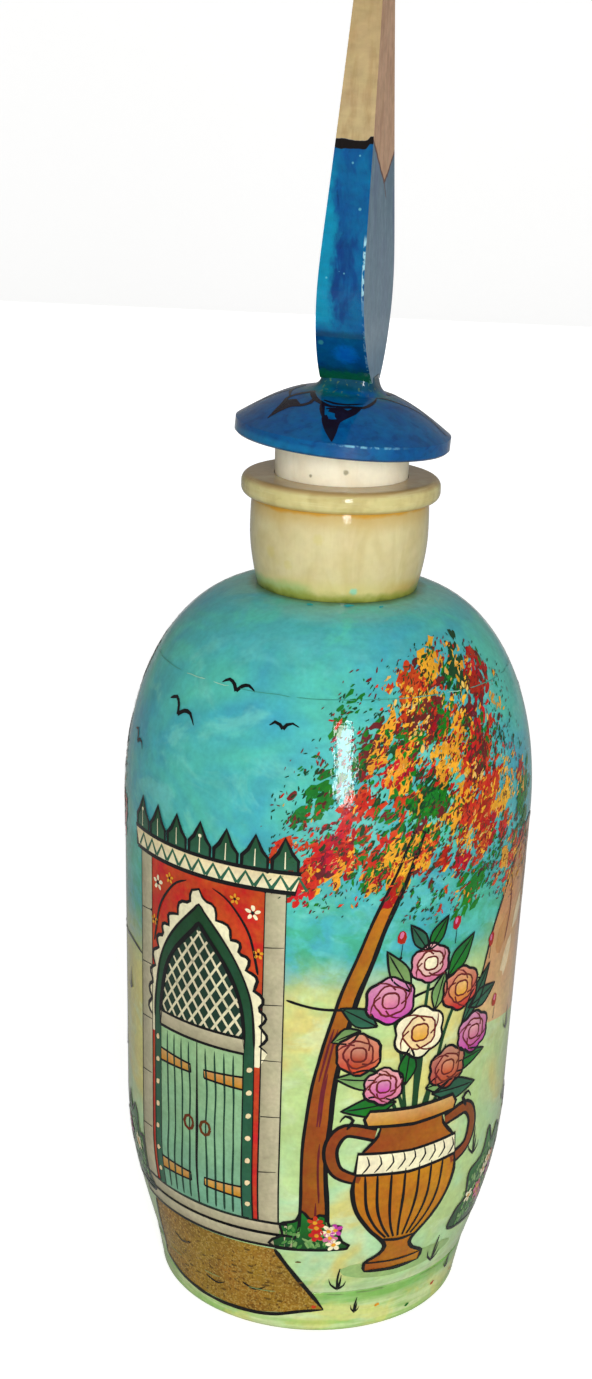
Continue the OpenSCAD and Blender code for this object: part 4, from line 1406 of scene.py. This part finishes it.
def draw_bouquet(sheet, paints):
    """Roses and leaves that stand in the urn."""
    ink = paints.ink
    stems = (
        (9.5, 47.0), (14.5, 52.0), (19.5, 47.5), (5.6, 41.0), (22.6, 40.5), (13.4, 43.4), (17.8, 40.0),
        (9.0, 38.5),
    )
    for x, y in stems:
        sheet.ink([(13.5 + (x - 13.5) * 0.3, 32.5), (13.5 + (x - 13.5) * 0.6, 32.5 + (y - 32.5) * 0.55), (x, y)],
                  paints.leaf_dark, 4, 0.5)
    leaves = (
        ((11, 34), (4.0, 33.2), 1.3), ((16, 34), (23.6, 33.6), 1.4), ((10, 37), (3.0, 37.6), 1.3),
        ((17, 37), (25.0, 37.4), 1.3), ((8, 44), (3.4, 46.6), 1.2), ((12, 48), (8.6, 53.6), 1.2),
        ((17, 49), (21.0, 53.8), 1.3), ((21, 44), (26.4, 45.6), 1.2), ((15.5, 45), (16.6, 50.0), 1.1),
        ((12, 36), (12.4, 41.0), 1.2), ((20, 42), (24.8, 48.8), 1.1), ((6, 43.6), (2.6, 42.2), 1.0),
        ((14, 53), (16.6, 57.0), 0.9), ((14, 53), (11.4, 56.6), 0.9), ((15, 35), (18.8, 35.2), 1.0),
    )
    greens = (paints.leaf, paints.bottle_green, mixed(paints.leaf, paints.meadow, 0.45))
    for i, (start, end, wide) in enumerate(leaves):
        leaf(sheet, paints, start, end, wide, greens[i % 3])
    blooms = (
        (9.4, 47.2, 3.3, "magenta", "rose"), (19.4, 47.0, 3.1, "scarlet", "amber"),
        (14.4, 51.4, 2.8, "rose", "cream"), (5.9, 40.6, 2.9, "scarlet", "crimson"),
        (22.4, 40.4, 3.0, "magenta", "rose"), (13.6, 42.6, 3.6, "cream", "amber"),
        (9.2, 36.2, 2.7, "rose", "magenta"), (18.2, 37.0, 3.0, "crimson", "scarlet"),
    )
    for x, y, size, petal, heart in blooms:
        rose(sheet, paints, x, y, size, tuple(getattr(paints, petal)), tuple(getattr(paints, heart)))
    for x, y in ((24.6, 51.4), (17.9, 55.4), (26.8, 42.8), (10.4, 54.8)):
        sheet.ink([(x, y - 2.2), (x + 0.1, y)], ink, 5, 0.26, False)
        sheet.dab(x, y + 0.4, 1.8, 1.2, 1.4, paints.crimson, 6, 8, 0.85)
        sheet.dab(x - 0.1, y + 0.7, 0.9, 0.5, 1.4, paints.rose, 7, 7, 0.8)


def draw_shrubs(sheet, paints):
    """Low flowering shrubs beside the gate and at the right of the front."""
    for middle, low, wide, high in ((-30.5, 15.0, 5.0, 10.0), (30.5, 12.0, 6.5, 12.0), (1.0, 13.6, 4.6, 5.4)):
        mound = []
        for i in range(15):
            around = math.pi * i / 14
            bump = 1.0 + 0.13 * math.sin(i * 2.4)
            mound.append((middle - math.cos(around) * wide * bump, low + math.sin(around) * high * bump))
        sheet.fill(mound, paints.leaf_dark, 3, top=paints.leaf, rounded=True)
        sheet.ink(mound, paints.ink, 5, 0.4, closed=True)
        for _ in range(int(wide * high * 2.2)):
            x = middle + sheet.hand.uniform(-0.86, 0.86) * wide
            y = low + sheet.hand.uniform(0.06, 0.9) * high * math.sqrt(max(0.0, 1 - ((x - middle) / wide) ** 2))
            green = mixed(paints.leaf, paints.meadow, sheet.hand.uniform(0.0, 0.5))
            sheet.dab(x, y, 1.0, 0.42, sheet.hand.uniform(0.2, 2.9), green, 4, 6, 0.7)
        for _ in range(int(wide * 1.7)):
            x = middle + sheet.hand.uniform(-0.75, 0.75) * wide
            y = low + sheet.hand.uniform(0.15, 0.85) * high * math.sqrt(max(0.0, 1 - ((x - middle) / wide) ** 2))
            petals = sheet.hand.choice((paints.magenta, paints.rose, paints.scarlet, paints.cream))
            for petal in range(5):
                around = petal * math.tau / 5 + x
                sheet.dab(x + 0.62 * math.cos(around), y + 0.62 * math.sin(around), 0.85, 0.6, around,
                          petals, 6, 8, 0.85)
            sheet.dab(x, y, 0.6, 0.6, 0.0, paints.amber, 7, 8, 0.85)


def draw_path(sheet, paints):
    """A path of gold-brown gravel in front of the gate."""
    outline = [(-25.5, 13.4), (-3.6, 13.2), (-0.6, 8.4), (3.6, 3.4), (-8.0, 2.0), (-20.0, 2.3), (-27.8, 3.6),
               (-27.0, 8.6)]
    sheet.fill(outline, paints.gilt, 2)
    return outline


def draw_path_edge(sheet, paints):
    for line, wide in (
        ([(-25.5, 13.3), (-27.0, 8.6), (-27.9, 3.4)], 0.5),
        ([(-3.6, 13.2), (-0.6, 8.4), (3.6, 3.4)], 0.6),
        ([(-27.8, 3.5), (-20.0, 2.2), (-8.0, 1.9), (3.7, 3.3)], 0.55),
        ([(-22.0, 9.8), (-20.4, 9.0), (-18.6, 9.5)], 0.3),
        ([(-9.0, 6.4), (-7.2, 5.7), (-5.4, 6.3)], 0.3),
        ([(-16.0, 5.2), (-14.0, 4.6), (-12.6, 5.0)], 0.28),
    ):
        sheet.ink(line, paints.ink, 4, wide)
    for _ in range(26):
        x, y = sheet.hand.uniform(-25.0, 0.0), sheet.hand.uniform(3.6, 12.6)
        sheet.dab(x, y, 0.8, 0.3, 0.1, mixed(paints.gilt, paints.ink, 0.6), 4, 6, 0.7)


def draw_meadow(sheet, paints):
    """Grass, birds, and stray touches of paint on the foot and shoulder."""
    for x, y, size in ((5.4, 6.6, 0.9), (21.5, 7.6, 1.0), (35.0, 26.0, 1.0), (24.8, 23.0, 0.9), (32.2, 37.0, 0.8),
                       (-34.6, 31.0, 1.0), (-38.4, 12.0, 0.9), (-30.4, 40.5, 0.7), (8.6, 2.6, 0.55),
                       (27.8, 4.0, 0.7), (43.0, 33.0, 1.0), (50.0, 29.6, 0.9), (-47.0, 36.0, 0.9),
                       (-50.0, 14.6, 1.0), (51.6, 37.4, 0.8), (34.4, 19.0, 1.0), (-57.4, 34.0, 0.9),
                       (71.4, 31.0, 0.8), (-72.0, 13.6, 1.0), (-30.6, 5.0, 0.6)):
        tuft(sheet, paints, x, y, size)
    for x, y, size, turn in ((-21.0, 78.4, 1.05, -0.18), (-12.6, 83.0, 0.8, 0.1), (-29.5, 73.0, 0.7, -0.3),
                             (-5.0, 79.6, 0.6, 0.15), (44.0, 78.0, 0.9, 0.1), (52.0, 73.0, 0.7, -0.1),
                             (-58.0, 76.0, 1.0, 0.1), (60.0, 80.0, 0.9, 0.0), (-66.0, 70.0, 0.7, 0.2)):
        bird(sheet, paints, x, y, size, turn)
    spots = ((2.0, 3.8, "scarlet"), (12.4, 3.2, "amber"), (-33.0, 2.6, "scarlet"), (31.0, 2.4, "amber"),
             (18.6, 1.6, "leaf"), (24.2, 3.0, "scarlet"))
    for x, y, name in spots:
        sheet.dab(x, y, 0.7, 0.5, 0.4, getattr(paints, name), 4, 8, 0.7)
    for x, y, long, wide, turn in ((4.4, 97.1, 1.5, 0.8, 0.2), (-6.0, 96.8, 0.8, 0.5, 0.0), (13.0, 96.4, 0.7, 0.4, 0.5)):
        sheet.dab(x, y, long, wide, turn, (0.0, 0.42, 0.5), 4, 9, 0.7)


# Half of the way round the bottle on the picture plane
HALF_ROUND = 78.5


def draw_seam_fill(sheet, paints):
    """Paint that bridges the shoulder's seam all round."""
    seam = side.up(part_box("body_tube")[1].z / MM)
    sheet.fill(
        [(-HALF_ROUND, seam - 0.5), (HALF_ROUND, seam - 0.5), (HALF_ROUND, seam + 0.5),
         (-HALF_ROUND, seam + 0.5)], paints.sky, 0.5, stray=0.0,
    )


def draw_seam(sheet, paints):
    """Paint cracked along the seams: a thin line that comes and goes."""
    seam, foot = (side.up(corner.z / MM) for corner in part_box("body_tube")[::-1])
    # Height, longest run, longest gap, width, and the two paints that it comes in
    seams = (
        (seam, 8.0, 2.6, 0.1, mixed(paints.sky, paints.cream, 0.3), mixed(paints.sky, paints.ink, 0.4)),
        (foot, 5.0, 8.0, 0.12, mixed(paints.meadow, paints.leaf_dark, 0.4),
         mixed(paints.meadow, paints.leaf_dark, 0.5)),
    )
    for height, run, gap, width, light, dark in seams:
        turn = -HALF_ROUND
        while turn < HALF_ROUND:
            long = sheet.hand.uniform(0.3, 1.0) * run
            points = [(turn + long * i / 4, height + sheet.hand.uniform(-0.07, 0.07)) for i in range(5)]
            shade = light if sheet.hand.random() < 0.45 else dark
            sheet.ink(points, shade, 6, width, stray=0.2, blob=0.0)
            turn += long + sheet.hand.uniform(0.1, 1.0) * gap


def draw_back(sheet, paints):
    """Cypresses, a pond and reeds on the side away from the gate."""
    for middle, low, high, wide in ((58.0, 33.0, 66.0, 4.2), (66.0, 30.0, 58.0, 3.6), (-66.0, 31.0, 63.0, 4.0)):
        outline = [(middle, high)]
        for part, reach in ((0.82, 0.45), (0.6, 0.85), (0.35, 1.0), (0.12, 0.8), (0.0, 0.25)):
            outline.append((middle + wide * reach, low + (high - low) * part))
        outline += [(2 * middle - x, y) for x, y in outline[:0:-1]]
        sheet.fill(outline, paints.leaf_dark, 3, top=paints.bottle_green, rounded=True)
        sheet.ink(outline, paints.ink, 6, 0.42, closed=True)
        sheet.ink([(middle, low - 2.6), (middle, low + 0.4)], paints.rust, 4, 1.1, False, ends=(1.0, 1.0))
        for _ in range(int((high - low) * 5)):
            part = sheet.hand.uniform(0.04, 0.9)
            reach = wide * (1.0 - part) ** 0.5 * 0.8
            x = middle + sheet.hand.uniform(-reach, reach)
            green = mixed(paints.leaf, paints.meadow, sheet.hand.uniform(0.0, 0.35))
            sheet.dab(x, low + (high - low) * part, 1.5, 0.3, 1.35 + sheet.hand.gauss(0.0, 0.18), green, 5, 6, 0.7)
    pond = [(-78, 24), (-70, 20.5), (-58, 19.6), (-47, 21.6), (-42, 25.4), (-48, 28.8), (-60, 30.2), (-72, 28.6)]
    sheet.fill(pond, paints.sky_blue, 2, top=paints.sky, rounded=True)
    sheet.ink(pond, paints.ink, 5, 0.42, closed=True)
    for x, y, long in ((-68, 24.0, 6), (-60, 22.4, 7), (-54, 26.0, 6), (-64, 27.4, 5), (-50, 24.0, 4)):
        sheet.ink([(x, y), (x + long * 0.5, y + 0.5), (x + long, y)], paints.cream, 4, 0.3)
    for x in (-44.5, -43.2, -41.8, -46.2, -76.0, -74.6, -73.0):
        sheet.ink([(x, 24.0), (x + 0.4, 29.0), (x + 1.4, 33.6)], paints.leaf_dark, 5, 0.46)
        sheet.dab(x + 1.45, 33.8, 2.4, 0.8, 1.35, paints.rust, 6, 8, 0.8)
    wall = [(38.0, 12.0), (74.0, 12.0), (74.0, 24.0), (38.0, 24.0)]
    sheet.fill(wall, paints.vermilion, 3, top=paints.scarlet)
    sheet.ink(wall, paints.ink, 6, 0.45, False, True)
    sheet.fill([(37.2, 24.0), (74.8, 24.0), (74.8, 26.4), (37.2, 26.4)], paints.cream, 4)
    sheet.ink([(37.2, 24.0), (74.8, 24.0), (74.8, 26.4), (37.2, 26.4)], paints.ink, 6, 0.42, False, True)
    for i in range(9):
        x = 38.8 + i * 4.0
        panel = moved(arch(1.35, 15.0, 20.6, 6), x + 1.0)
        sheet.fill([(x - 0.35, 13.4), *panel, (x + 2.35, 13.4)], paints.bottle_green, 4, top=paints.leaf_dark)
        sheet.ink([(x - 0.35, 13.4), *panel, (x + 2.35, 13.4)], paints.ink, 6, 0.34, False, True)
        sheet.ink([(x - 0.6, 24.6), (x + 1.0, 25.8), (x + 2.6, 24.6)], paints.bottle_green, 5, 0.36)


def draw_star(sheet, paints):
    """Loose dark star round the finial's foot, its points down the slope of the cap."""
    black = srgb(22, 10, 26)

    def polar(points):
        """Points given by angle from the front, in degrees, and distance from the axis."""
        return [(math.sin(math.radians(turn)) * reach, -math.cos(math.radians(turn)) * reach)
                for turn, reach in points]

    strokes = (
        (0.6, (-48, 4.9), (-31, 6.2), (-20, 6.95), (-10, 7.35), (2, 7.1)),
        (0.42, (-5, 7.55), (8, 7.15), (20, 7.15), (34, 6.1), (47, 5.0)),
        (0.3, (-20, 6.3), (-8, 6.7), (6, 6.7), (22, 6.4)),
        (0.6, (-19, 7.0), (-14.5, 8.6), (-9.5, 10.2)),
        (0.95, (-12, 9.0), (-7, 11.2), (-3.8, 12.45)),
        (0.3, (-13, 7.9), (-2, 7.6), (9, 8.0)),
        (0.85, (16, 7.2), (10, 7.9), (4, 8.6), (-1.4, 9.6), (-2.5, 11.2), (-3.8, 12.45)),
        (0.5, (-31, 6.1), (-30, 7.3), (-35, 8.0), (-42, 8.4), (-46, 9.3), (-49, 11.1)),
        (0.55, (-47, 5.0), (-60, 7.2), (-53, 8.7), (-49, 11.1)),
        (0.28, (47, 5.0), (58, 5.4), (70, 6.7), (82, 8.8), (84, 10.3), (82, 11.9)),
        (0.35, (102, 5.2), (98, 7.6), (90, 9.6), (82, 11.9)),
        (0.5, (84, 5.0), (102, 5.2), (120, 6.6), (140, 6.2)),
        (0.55, (120, 6.6), (126, 9.0), (128, 11.2)),
        (0.4, (138, 6.2), (133, 8.6), (128, 11.2)),
        (0.5, (140, 6.2), (160, 6.9), (180, 6.8), (-164, 6.4)),
        (0.6, (165, 6.9), (172, 9.2), (174, 11.8)),
        (0.45, (-170, 6.7), (178, 9.0), (174, 11.8)),
        (0.45, (-164, 6.4), (-145, 6.9), (-128, 6.8), (-112, 5.6)),
        (0.6, (-150, 6.9), (-142, 9.0), (-139, 11.2)),
        (0.4, (-126, 6.7), (-133, 8.8), (-139, 11.2)),
        (0.45, (-112, 5.6), (-96, 5.0), (-80, 6.4), (-60, 7.2)),
        (0.5, (-106, 5.6), (-98, 8.2), (-94, 11.4)),
        (0.35, (-84, 6.2), (-89, 8.8), (-94, 11.4)),
    )
    for width, *line in strokes:
        sheet.ink(polar(line), black, 1.5, width, ends=(0.6, 0.15))
    fills = (
        ((-11.5, 9.35), (-6.5, 9.5), (-1.4, 9.3), (-2.4, 11.2), (-3.8, 12.4), (-7, 11.2)),
        ((-10, 7.75), (3, 7.85), (14, 7.5), (7, 8.3), (2, 9.0), (-2, 9.5), (-4.4, 9.0), (-4.8, 8.5), (-10.5, 8.35)),
        ((-36, 8.0), (-43, 8.4), (-47, 9.6), (-49, 11.0), (-52, 9.0), (-56, 7.8), (-48, 7.2)),
        ((122, 8.8), (128, 11.0), (132, 9.0)),
        ((170, 9.2), (174, 11.6), (178, 9.4)),
        ((-143, 9.0), (-139, 11.0), (-134, 9.2)),
    )
    for shape in fills:
        sheet.fill(polar(shape), black, 1.2, stray=0.5)


FRONT_CROWN = (
    (6.0, 70.0, 10.0, 8.0), (15.0, 74.0, 11.0, 8.5), (24.0, 70.0, 8.0, 8.0), (10.0, 80.0, 9.0, 6.5),
    (20.0, 83.0, 9.0, 6.0), (1.0, 64.0, 6.0, 5.0), (28.0, 62.0, 5.5, 5.0), (15.0, 62.0, 8.0, 4.5),
)
LEFT_CROWN = (
    (-48.0, 70.0, 9.0, 8.0), (-40.0, 66.0, 6.5, 6.5), (-46.0, 80.0, 8.0, 6.0), (-54.0, 62.0, 6.0, 6.0),
)
BACK_CROWN = (
    (78.5, 68.0, 10.0, 9.0), (86.0, 74.0, 8.0, 7.0), (-76.0, 78.0, 8.0, 6.0), (80.0, 58.0, 8.0, 5.0),
)


class BottlePart:
    """What every button of the panel shares."""

    bl_options = {"REGISTER", "UNDO"}

    def execute(self, context):
        self.make(context.scene.bottle_paints, context.scene.bottle_sizes)
        return {"FINISHED"}


def paint_of(name, make):
    """A finish that several pieces share, made once."""
    return bpy.data.materials.get(name) or make()


class BOTTLE_OT_side(BottlePart, bpy.types.Operator):
    """Paint sky, meadow and foot on the turned side of the bottle"""

    bl_idname = "bottle.side"
    bl_label = "Side"

    def make(self, paints, sizes):
        material = painted_side(paints)
        for name in SIDE_NODES:
            finish_node(name, material)


class BOTTLE_OT_bone(BottlePart, bpy.types.Operator):
    """Finish the neck, mouth ring, plug and base disc as bone"""

    bl_idname = "bottle.bone"
    bl_label = "Bone"

    def make(self, paints, sizes):
        finish_node("neck_collar", neck_bone(paints))
        finish_node("mouth_ring", ring_bone(paints))
        finish_node("stopper_plug", plug_bone(paints))
        finish_node("base_disc", hidden_bone(paints))


class BOTTLE_OT_stopper(BottlePart, bpy.types.Operator):
    """Paint the stopper's cap and finial, and finish the peg in them"""

    bl_idname = "bottle.stopper"
    bl_label = "Stopper"

    def make(self, paints, sizes):
        paint = cap_paint(paints)
        finish_node("stopper_cap", paint)
        flared_cap(paint)
        finish_node("finial_blade", blade_paint(paints))
        finish_node("finial_peg", dowel_wood())


class BOTTLE_OT_hills(BottlePart, bpy.types.Operator):
    """Paint the hills and skyline"""

    bl_idname = "bottle.hills"
    bl_label = "Hills"

    def make(self, paints, sizes):
        sheet = Sheet(sizes, 3)
        draw_hills(sheet, paints)
        sheet.cut()
        sheet.lay("hills", paint_of("picture_paint", picture_paint))


class BOTTLE_OT_trees(BottlePart, bpy.types.Operator):
    """Paint three autumn trees round the bottle"""

    bl_idname = "bottle.trees"
    bl_label = "Trees"

    def make(self, paints, sizes):
        trees = (
            ("front_tree", 11, FRONT_CROWN, [(1.5, 15), (1.2, 30), (3.6, 45), (8, 58), (12, 68)], 3.6, 1.0),
            ("left_tree", 17, LEFT_CROWN, [(-44, 27), (-43, 40), (-45, 52), (-47, 62)], 3.0, 0.62),
            ("back_tree", 23, BACK_CROWN, [(76, 28), (77.5, 42), (76.5, 54), (78, 64)], 3.2, 0.75),
        )
        for name, seed, crown, spine, wide, share in trees:
            sheet = Sheet(sizes, seed)
            trunk(sheet, paints, spine, wide)
            sheet.cut()
            foliage(sheet, paints, crown, share)
            sheet.lay(name, paint_of("picture_paint", picture_paint))


class BOTTLE_OT_gate(BottlePart, bpy.types.Operator):
    """Paint the garden gate"""

    bl_idname = "bottle.gate"
    bl_label = "Gate"

    def make(self, paints, sizes):
        sheet = Sheet(sizes, 5)
        draw_gate(sheet, paints)
        sheet.cut()
        sheet.lay("garden_gate", paint_of("picture_paint", picture_paint))


class BOTTLE_OT_path(BottlePart, bpy.types.Operator):
    """Paint the gold-brown path and its edge"""

    bl_idname = "bottle.path"
    bl_label = "Path"

    def make(self, paints, sizes):
        gravel = Sheet(sizes, 7)
        draw_path(gravel, paints)
        gravel.cut()
        gravel.lay("garden_path", gilt_paint(paints))
        edge = Sheet(sizes, 7)
        draw_path_edge(edge, paints)
        edge.cut()
        edge.lay("path_edge", paint_of("picture_paint", picture_paint))


class BOTTLE_OT_urn(BottlePart, bpy.types.Operator):
    """Paint the urn and its roses"""

    bl_idname = "bottle.urn"
    bl_label = "Urn"

    def make(self, paints, sizes):
        for name, seed, draw in (("garden_urn", 13, draw_urn), ("rose_bouquet", 19, draw_bouquet)):
            sheet = Sheet(sizes, seed)
            draw(sheet, paints)
            sheet.cut()
            sheet.lay(name, paint_of("picture_paint", picture_paint))


class BOTTLE_OT_meadow(BottlePart, bpy.types.Operator):
    """Paint grass, shrubs, birds and the seams"""

    bl_idname = "bottle.meadow"
    bl_label = "Meadow"

    def make(self, paints, sizes):
        for name, seed, draw in (
            ("grass_and_birds", 29, draw_meadow), ("shrubs", 31, draw_shrubs), ("seam_lines", 37, draw_seam),
        ):
            sheet = Sheet(sizes, seed)
            draw(sheet, paints)
            sheet.cut()
            sheet.lay(name, paint_of("picture_paint", picture_paint))
        sheet = Sheet(sizes, 47)
        draw_seam_fill(sheet, paints)
        sheet.cut()
        sheet.lay("seam_fill", bpy.data.materials["painted_side"])


class BOTTLE_OT_back(BottlePart, bpy.types.Operator):
    """Paint the garden on the back of the bottle"""

    bl_idname = "bottle.back"
    bl_label = "Back"

    def make(self, paints, sizes):
        sheet = Sheet(sizes, 41)
        draw_back(sheet, paints)
        sheet.cut()
        sheet.lay("back_garden", paint_of("picture_paint", picture_paint))


class BOTTLE_OT_cap_star(BottlePart, bpy.types.Operator):
    """Paint the dark star round the finial's foot"""

    bl_idname = "bottle.cap_star"
    bl_label = "Cap star"

    def make(self, paints, sizes):
        sheet = CapSheet(sizes, 43)
        draw_star(sheet, paints)
        sheet.cut()
        sheet.lay("cap_star", paint_of("picture_paint", picture_paint))


class BOTTLE_OT_stage(BottlePart, bpy.types.Operator):
    """Set up the floor, the light and the camera"""

    bl_idname = "bottle.stage"
    bl_label = "Stage"

    # Level of the surroundings' light on the bottle
    AMBIENT = 0.36

    def make(self, paints, sizes):
        self.floor()
        self.world()
        self.lamp("front_strip", 10.5, 11.0, 0.62, (0.09, 0.34), 2.7)
        soft = self.lamp("soft_front", -12.0, 26.0, 0.9, (0.6, 0.6), 0.3)
        back = self.lamp("soft_back", 180.0, 14.0, 0.9, (0.6, 0.6), 1.8)
        for lamp in (soft, back):
            lamp.visible_glossy = False
            lamp.visible_camera = False
        self.camera(sizes)
        bpy.context.scene.view_settings.view_transform = "Standard"

    def floor(self):
        """A floor that turns up into a backdrop behind the bottle."""
        mesh = bmesh.new()
        outline = [(-0.9, 0.0)] + [(0.9 + 0.35 * math.sin(a), 0.35 * (1.0 - math.cos(a)))
                                   for a in (math.pi / 2 * i / 12 for i in range(13))] + [(1.25, 1.3)]
        chain = [mesh.verts.new((-1.6, y, z)) for y, z in outline]
        edges = [mesh.edges.new(pair) for pair in zip(chain, chain[1:])]
        made = bmesh.ops.extrude_edge_only(mesh, edges=edges)["geom"]
        moved_verts = [item for item in made if isinstance(item, bmesh.types.BMVert)]
        bmesh.ops.translate(mesh, verts=moved_verts, vec=(3.2, 0.0, 0.0))
        bmesh.ops.recalc_face_normals(mesh, faces=mesh.faces[:])
        mesh.normal_update()
        down = [face for face in mesh.faces if face.normal.z < -0.1]
        if down:
            bmesh.ops.reverse_faces(mesh, faces=mesh.faces[:])
        data = bpy.data.meshes.new("floor")
        mesh.to_mesh(data)
        mesh.free()
        for polygon in data.polygons:
            polygon.use_smooth = True
        floor = bpy.data.objects.new("floor", data)
        bpy.context.collection.objects.link(floor)
        finish = Finish("pale_floor")
        paper = finish.varied(srgb(206, 206, 204), 8.0, 0.0, 0.01)
        finish.shader.inputs["Roughness"].default_value = 0.9
        finish.shader.inputs["Emission Color"].default_value = (1.0, 1.0, 1.0, 1.0)
        finish.plug(finish.shader.inputs["Emission Strength"], finish.maths("MULTIPLY", self.seen(finish), 0.74))
        data.materials.append(finish.colour(paper))

    def seen(self, finish):
        """1 for rays from the camera and through glass, and 0 for the light on the bottle."""
        path = finish.node("ShaderNodeLightPath").outputs
        return finish.maths("MAXIMUM", path["Is Camera Ray"], path["Is Transmission Ray"])

    def world(self):
        world = bpy.data.worlds.new("studio")
        bpy.context.scene.world = world
        world.use_nodes = True
        nodes, links = world.node_tree.nodes, world.node_tree.links
        path = nodes.new("ShaderNodeLightPath")
        strength = None
        for ray, level in (("Is Camera Ray", 1.0), ("Is Transmission Ray", 1.0), ("Is Glossy Ray", 0.28)):
            added = nodes.new("ShaderNodeMath")
            added.operation = "MULTIPLY_ADD"
            added.inputs[1].default_value = level - self.AMBIENT
            added.inputs[2].default_value = self.AMBIENT
            links.new(path.outputs[ray], added.inputs[0])
            if strength:
                links.new(strength, added.inputs[2])
            strength = added.outputs[0]
        links.new(strength, nodes["Background"].inputs["Strength"])
        nodes["Background"].inputs["Color"].default_value = (1.0, 1.0, 1.0, 1.0)

    def lamp(self, name, azimuth, elevation, distance, size, energy):
        """A soft rectangular lamp that looks at the middle of the bottle."""
        light = bpy.data.lights.new(name, "AREA")
        light.shape = "RECTANGLE"
        light.size, light.size_y = size
        light.energy = energy
        lamp = bpy.data.objects.new(name, light)
        bpy.context.collection.objects.link(lamp)
        turn, rise = math.radians(azimuth), math.radians(elevation)
        out = Vector((math.sin(turn) * math.cos(rise), -math.cos(turn) * math.cos(rise), math.sin(rise)))
        lamp.location = Vector((0.0, 0.0, 0.08)) + out * distance
        lamp.rotation_euler = out.to_track_quat("Z", "Y").to_euler()
        return lamp

    def camera(self, sizes):
        """The camera at the photograph's place, from the fit to its outline and seams."""
        data = bpy.data.cameras.new("camera")
        data.sensor_width = SENSOR
        data.lens = sizes.focal_pixels * SENSOR / PHOTO_LONG_SIDE
        camera = bpy.data.objects.new("camera", data)
        bpy.context.collection.objects.link(camera)
        pitch, roll, yaw = sizes.view_pitch, sizes.view_roll, sizes.view_yaw
        ahead = Vector((
            math.sin(yaw) * math.cos(pitch), math.cos(yaw) * math.cos(pitch), -math.sin(pitch)
        ))
        level = Vector((math.cos(yaw), -math.sin(yaw), 0.0))
        upright = level.cross(ahead)
        right = math.cos(roll) * level + math.sin(roll) * upright
        top = math.cos(roll) * upright - math.sin(roll) * level
        matrix = Matrix((right, top, -ahead)).transposed().to_4x4()
        matrix.translation = Vector((sizes.view_aside, -sizes.view_distance, sizes.view_height))
        camera.matrix_world = matrix
        bpy.context.scene.camera = camera


OPERATORS = (
    BOTTLE_OT_stage,
    BOTTLE_OT_side,
    BOTTLE_OT_bone,
    BOTTLE_OT_stopper,
    BOTTLE_OT_cap_star,
    BOTTLE_OT_hills,
    BOTTLE_OT_trees,
    BOTTLE_OT_path,
    BOTTLE_OT_gate,
    BOTTLE_OT_urn,
    BOTTLE_OT_meadow,
    BOTTLE_OT_back,
)


class BOTTLE_PT_panel(bpy.types.Panel):
    """The bottle's pieces, as buttons in the order that they are made"""

    bl_idname = "BOTTLE_PT_panel"
    bl_label = "Painted bone bottle"
    bl_space_type = "VIEW_3D"
    bl_region_type = "UI"
    bl_category = "Bottle"

    def draw(self, context):
        for operator in OPERATORS:
            self.layout.operator(operator.bl_idname)
        for group in (context.scene.bottle_sizes, context.scene.bottle_paints):
            box = self.layout.box()
            for name in group.bl_rna.properties.keys():
                if name not in ("rna_type", "name"):
                    box.prop(group, name)


CLASSES = (BottlePaints, BottleSizes, *OPERATORS, BOTTLE_PT_panel)


def register():
    for item in CLASSES:
        bpy.utils.register_class(item)
    bpy.types.Scene.bottle_paints = PointerProperty(type=BottlePaints)
    bpy.types.Scene.bottle_sizes = PointerProperty(type=BottleSizes)


def unregister():
    del bpy.types.Scene.bottle_sizes
    del bpy.types.Scene.bottle_paints
    for item in reversed(CLASSES):
        bpy.utils.unregister_class(item)


def main():
    register()
    for operator in OPERATORS:
        group, name = operator.bl_idname.split(".")
        getattr(getattr(bpy.ops, group), name)()


if __name__ == "__main__":
    main()
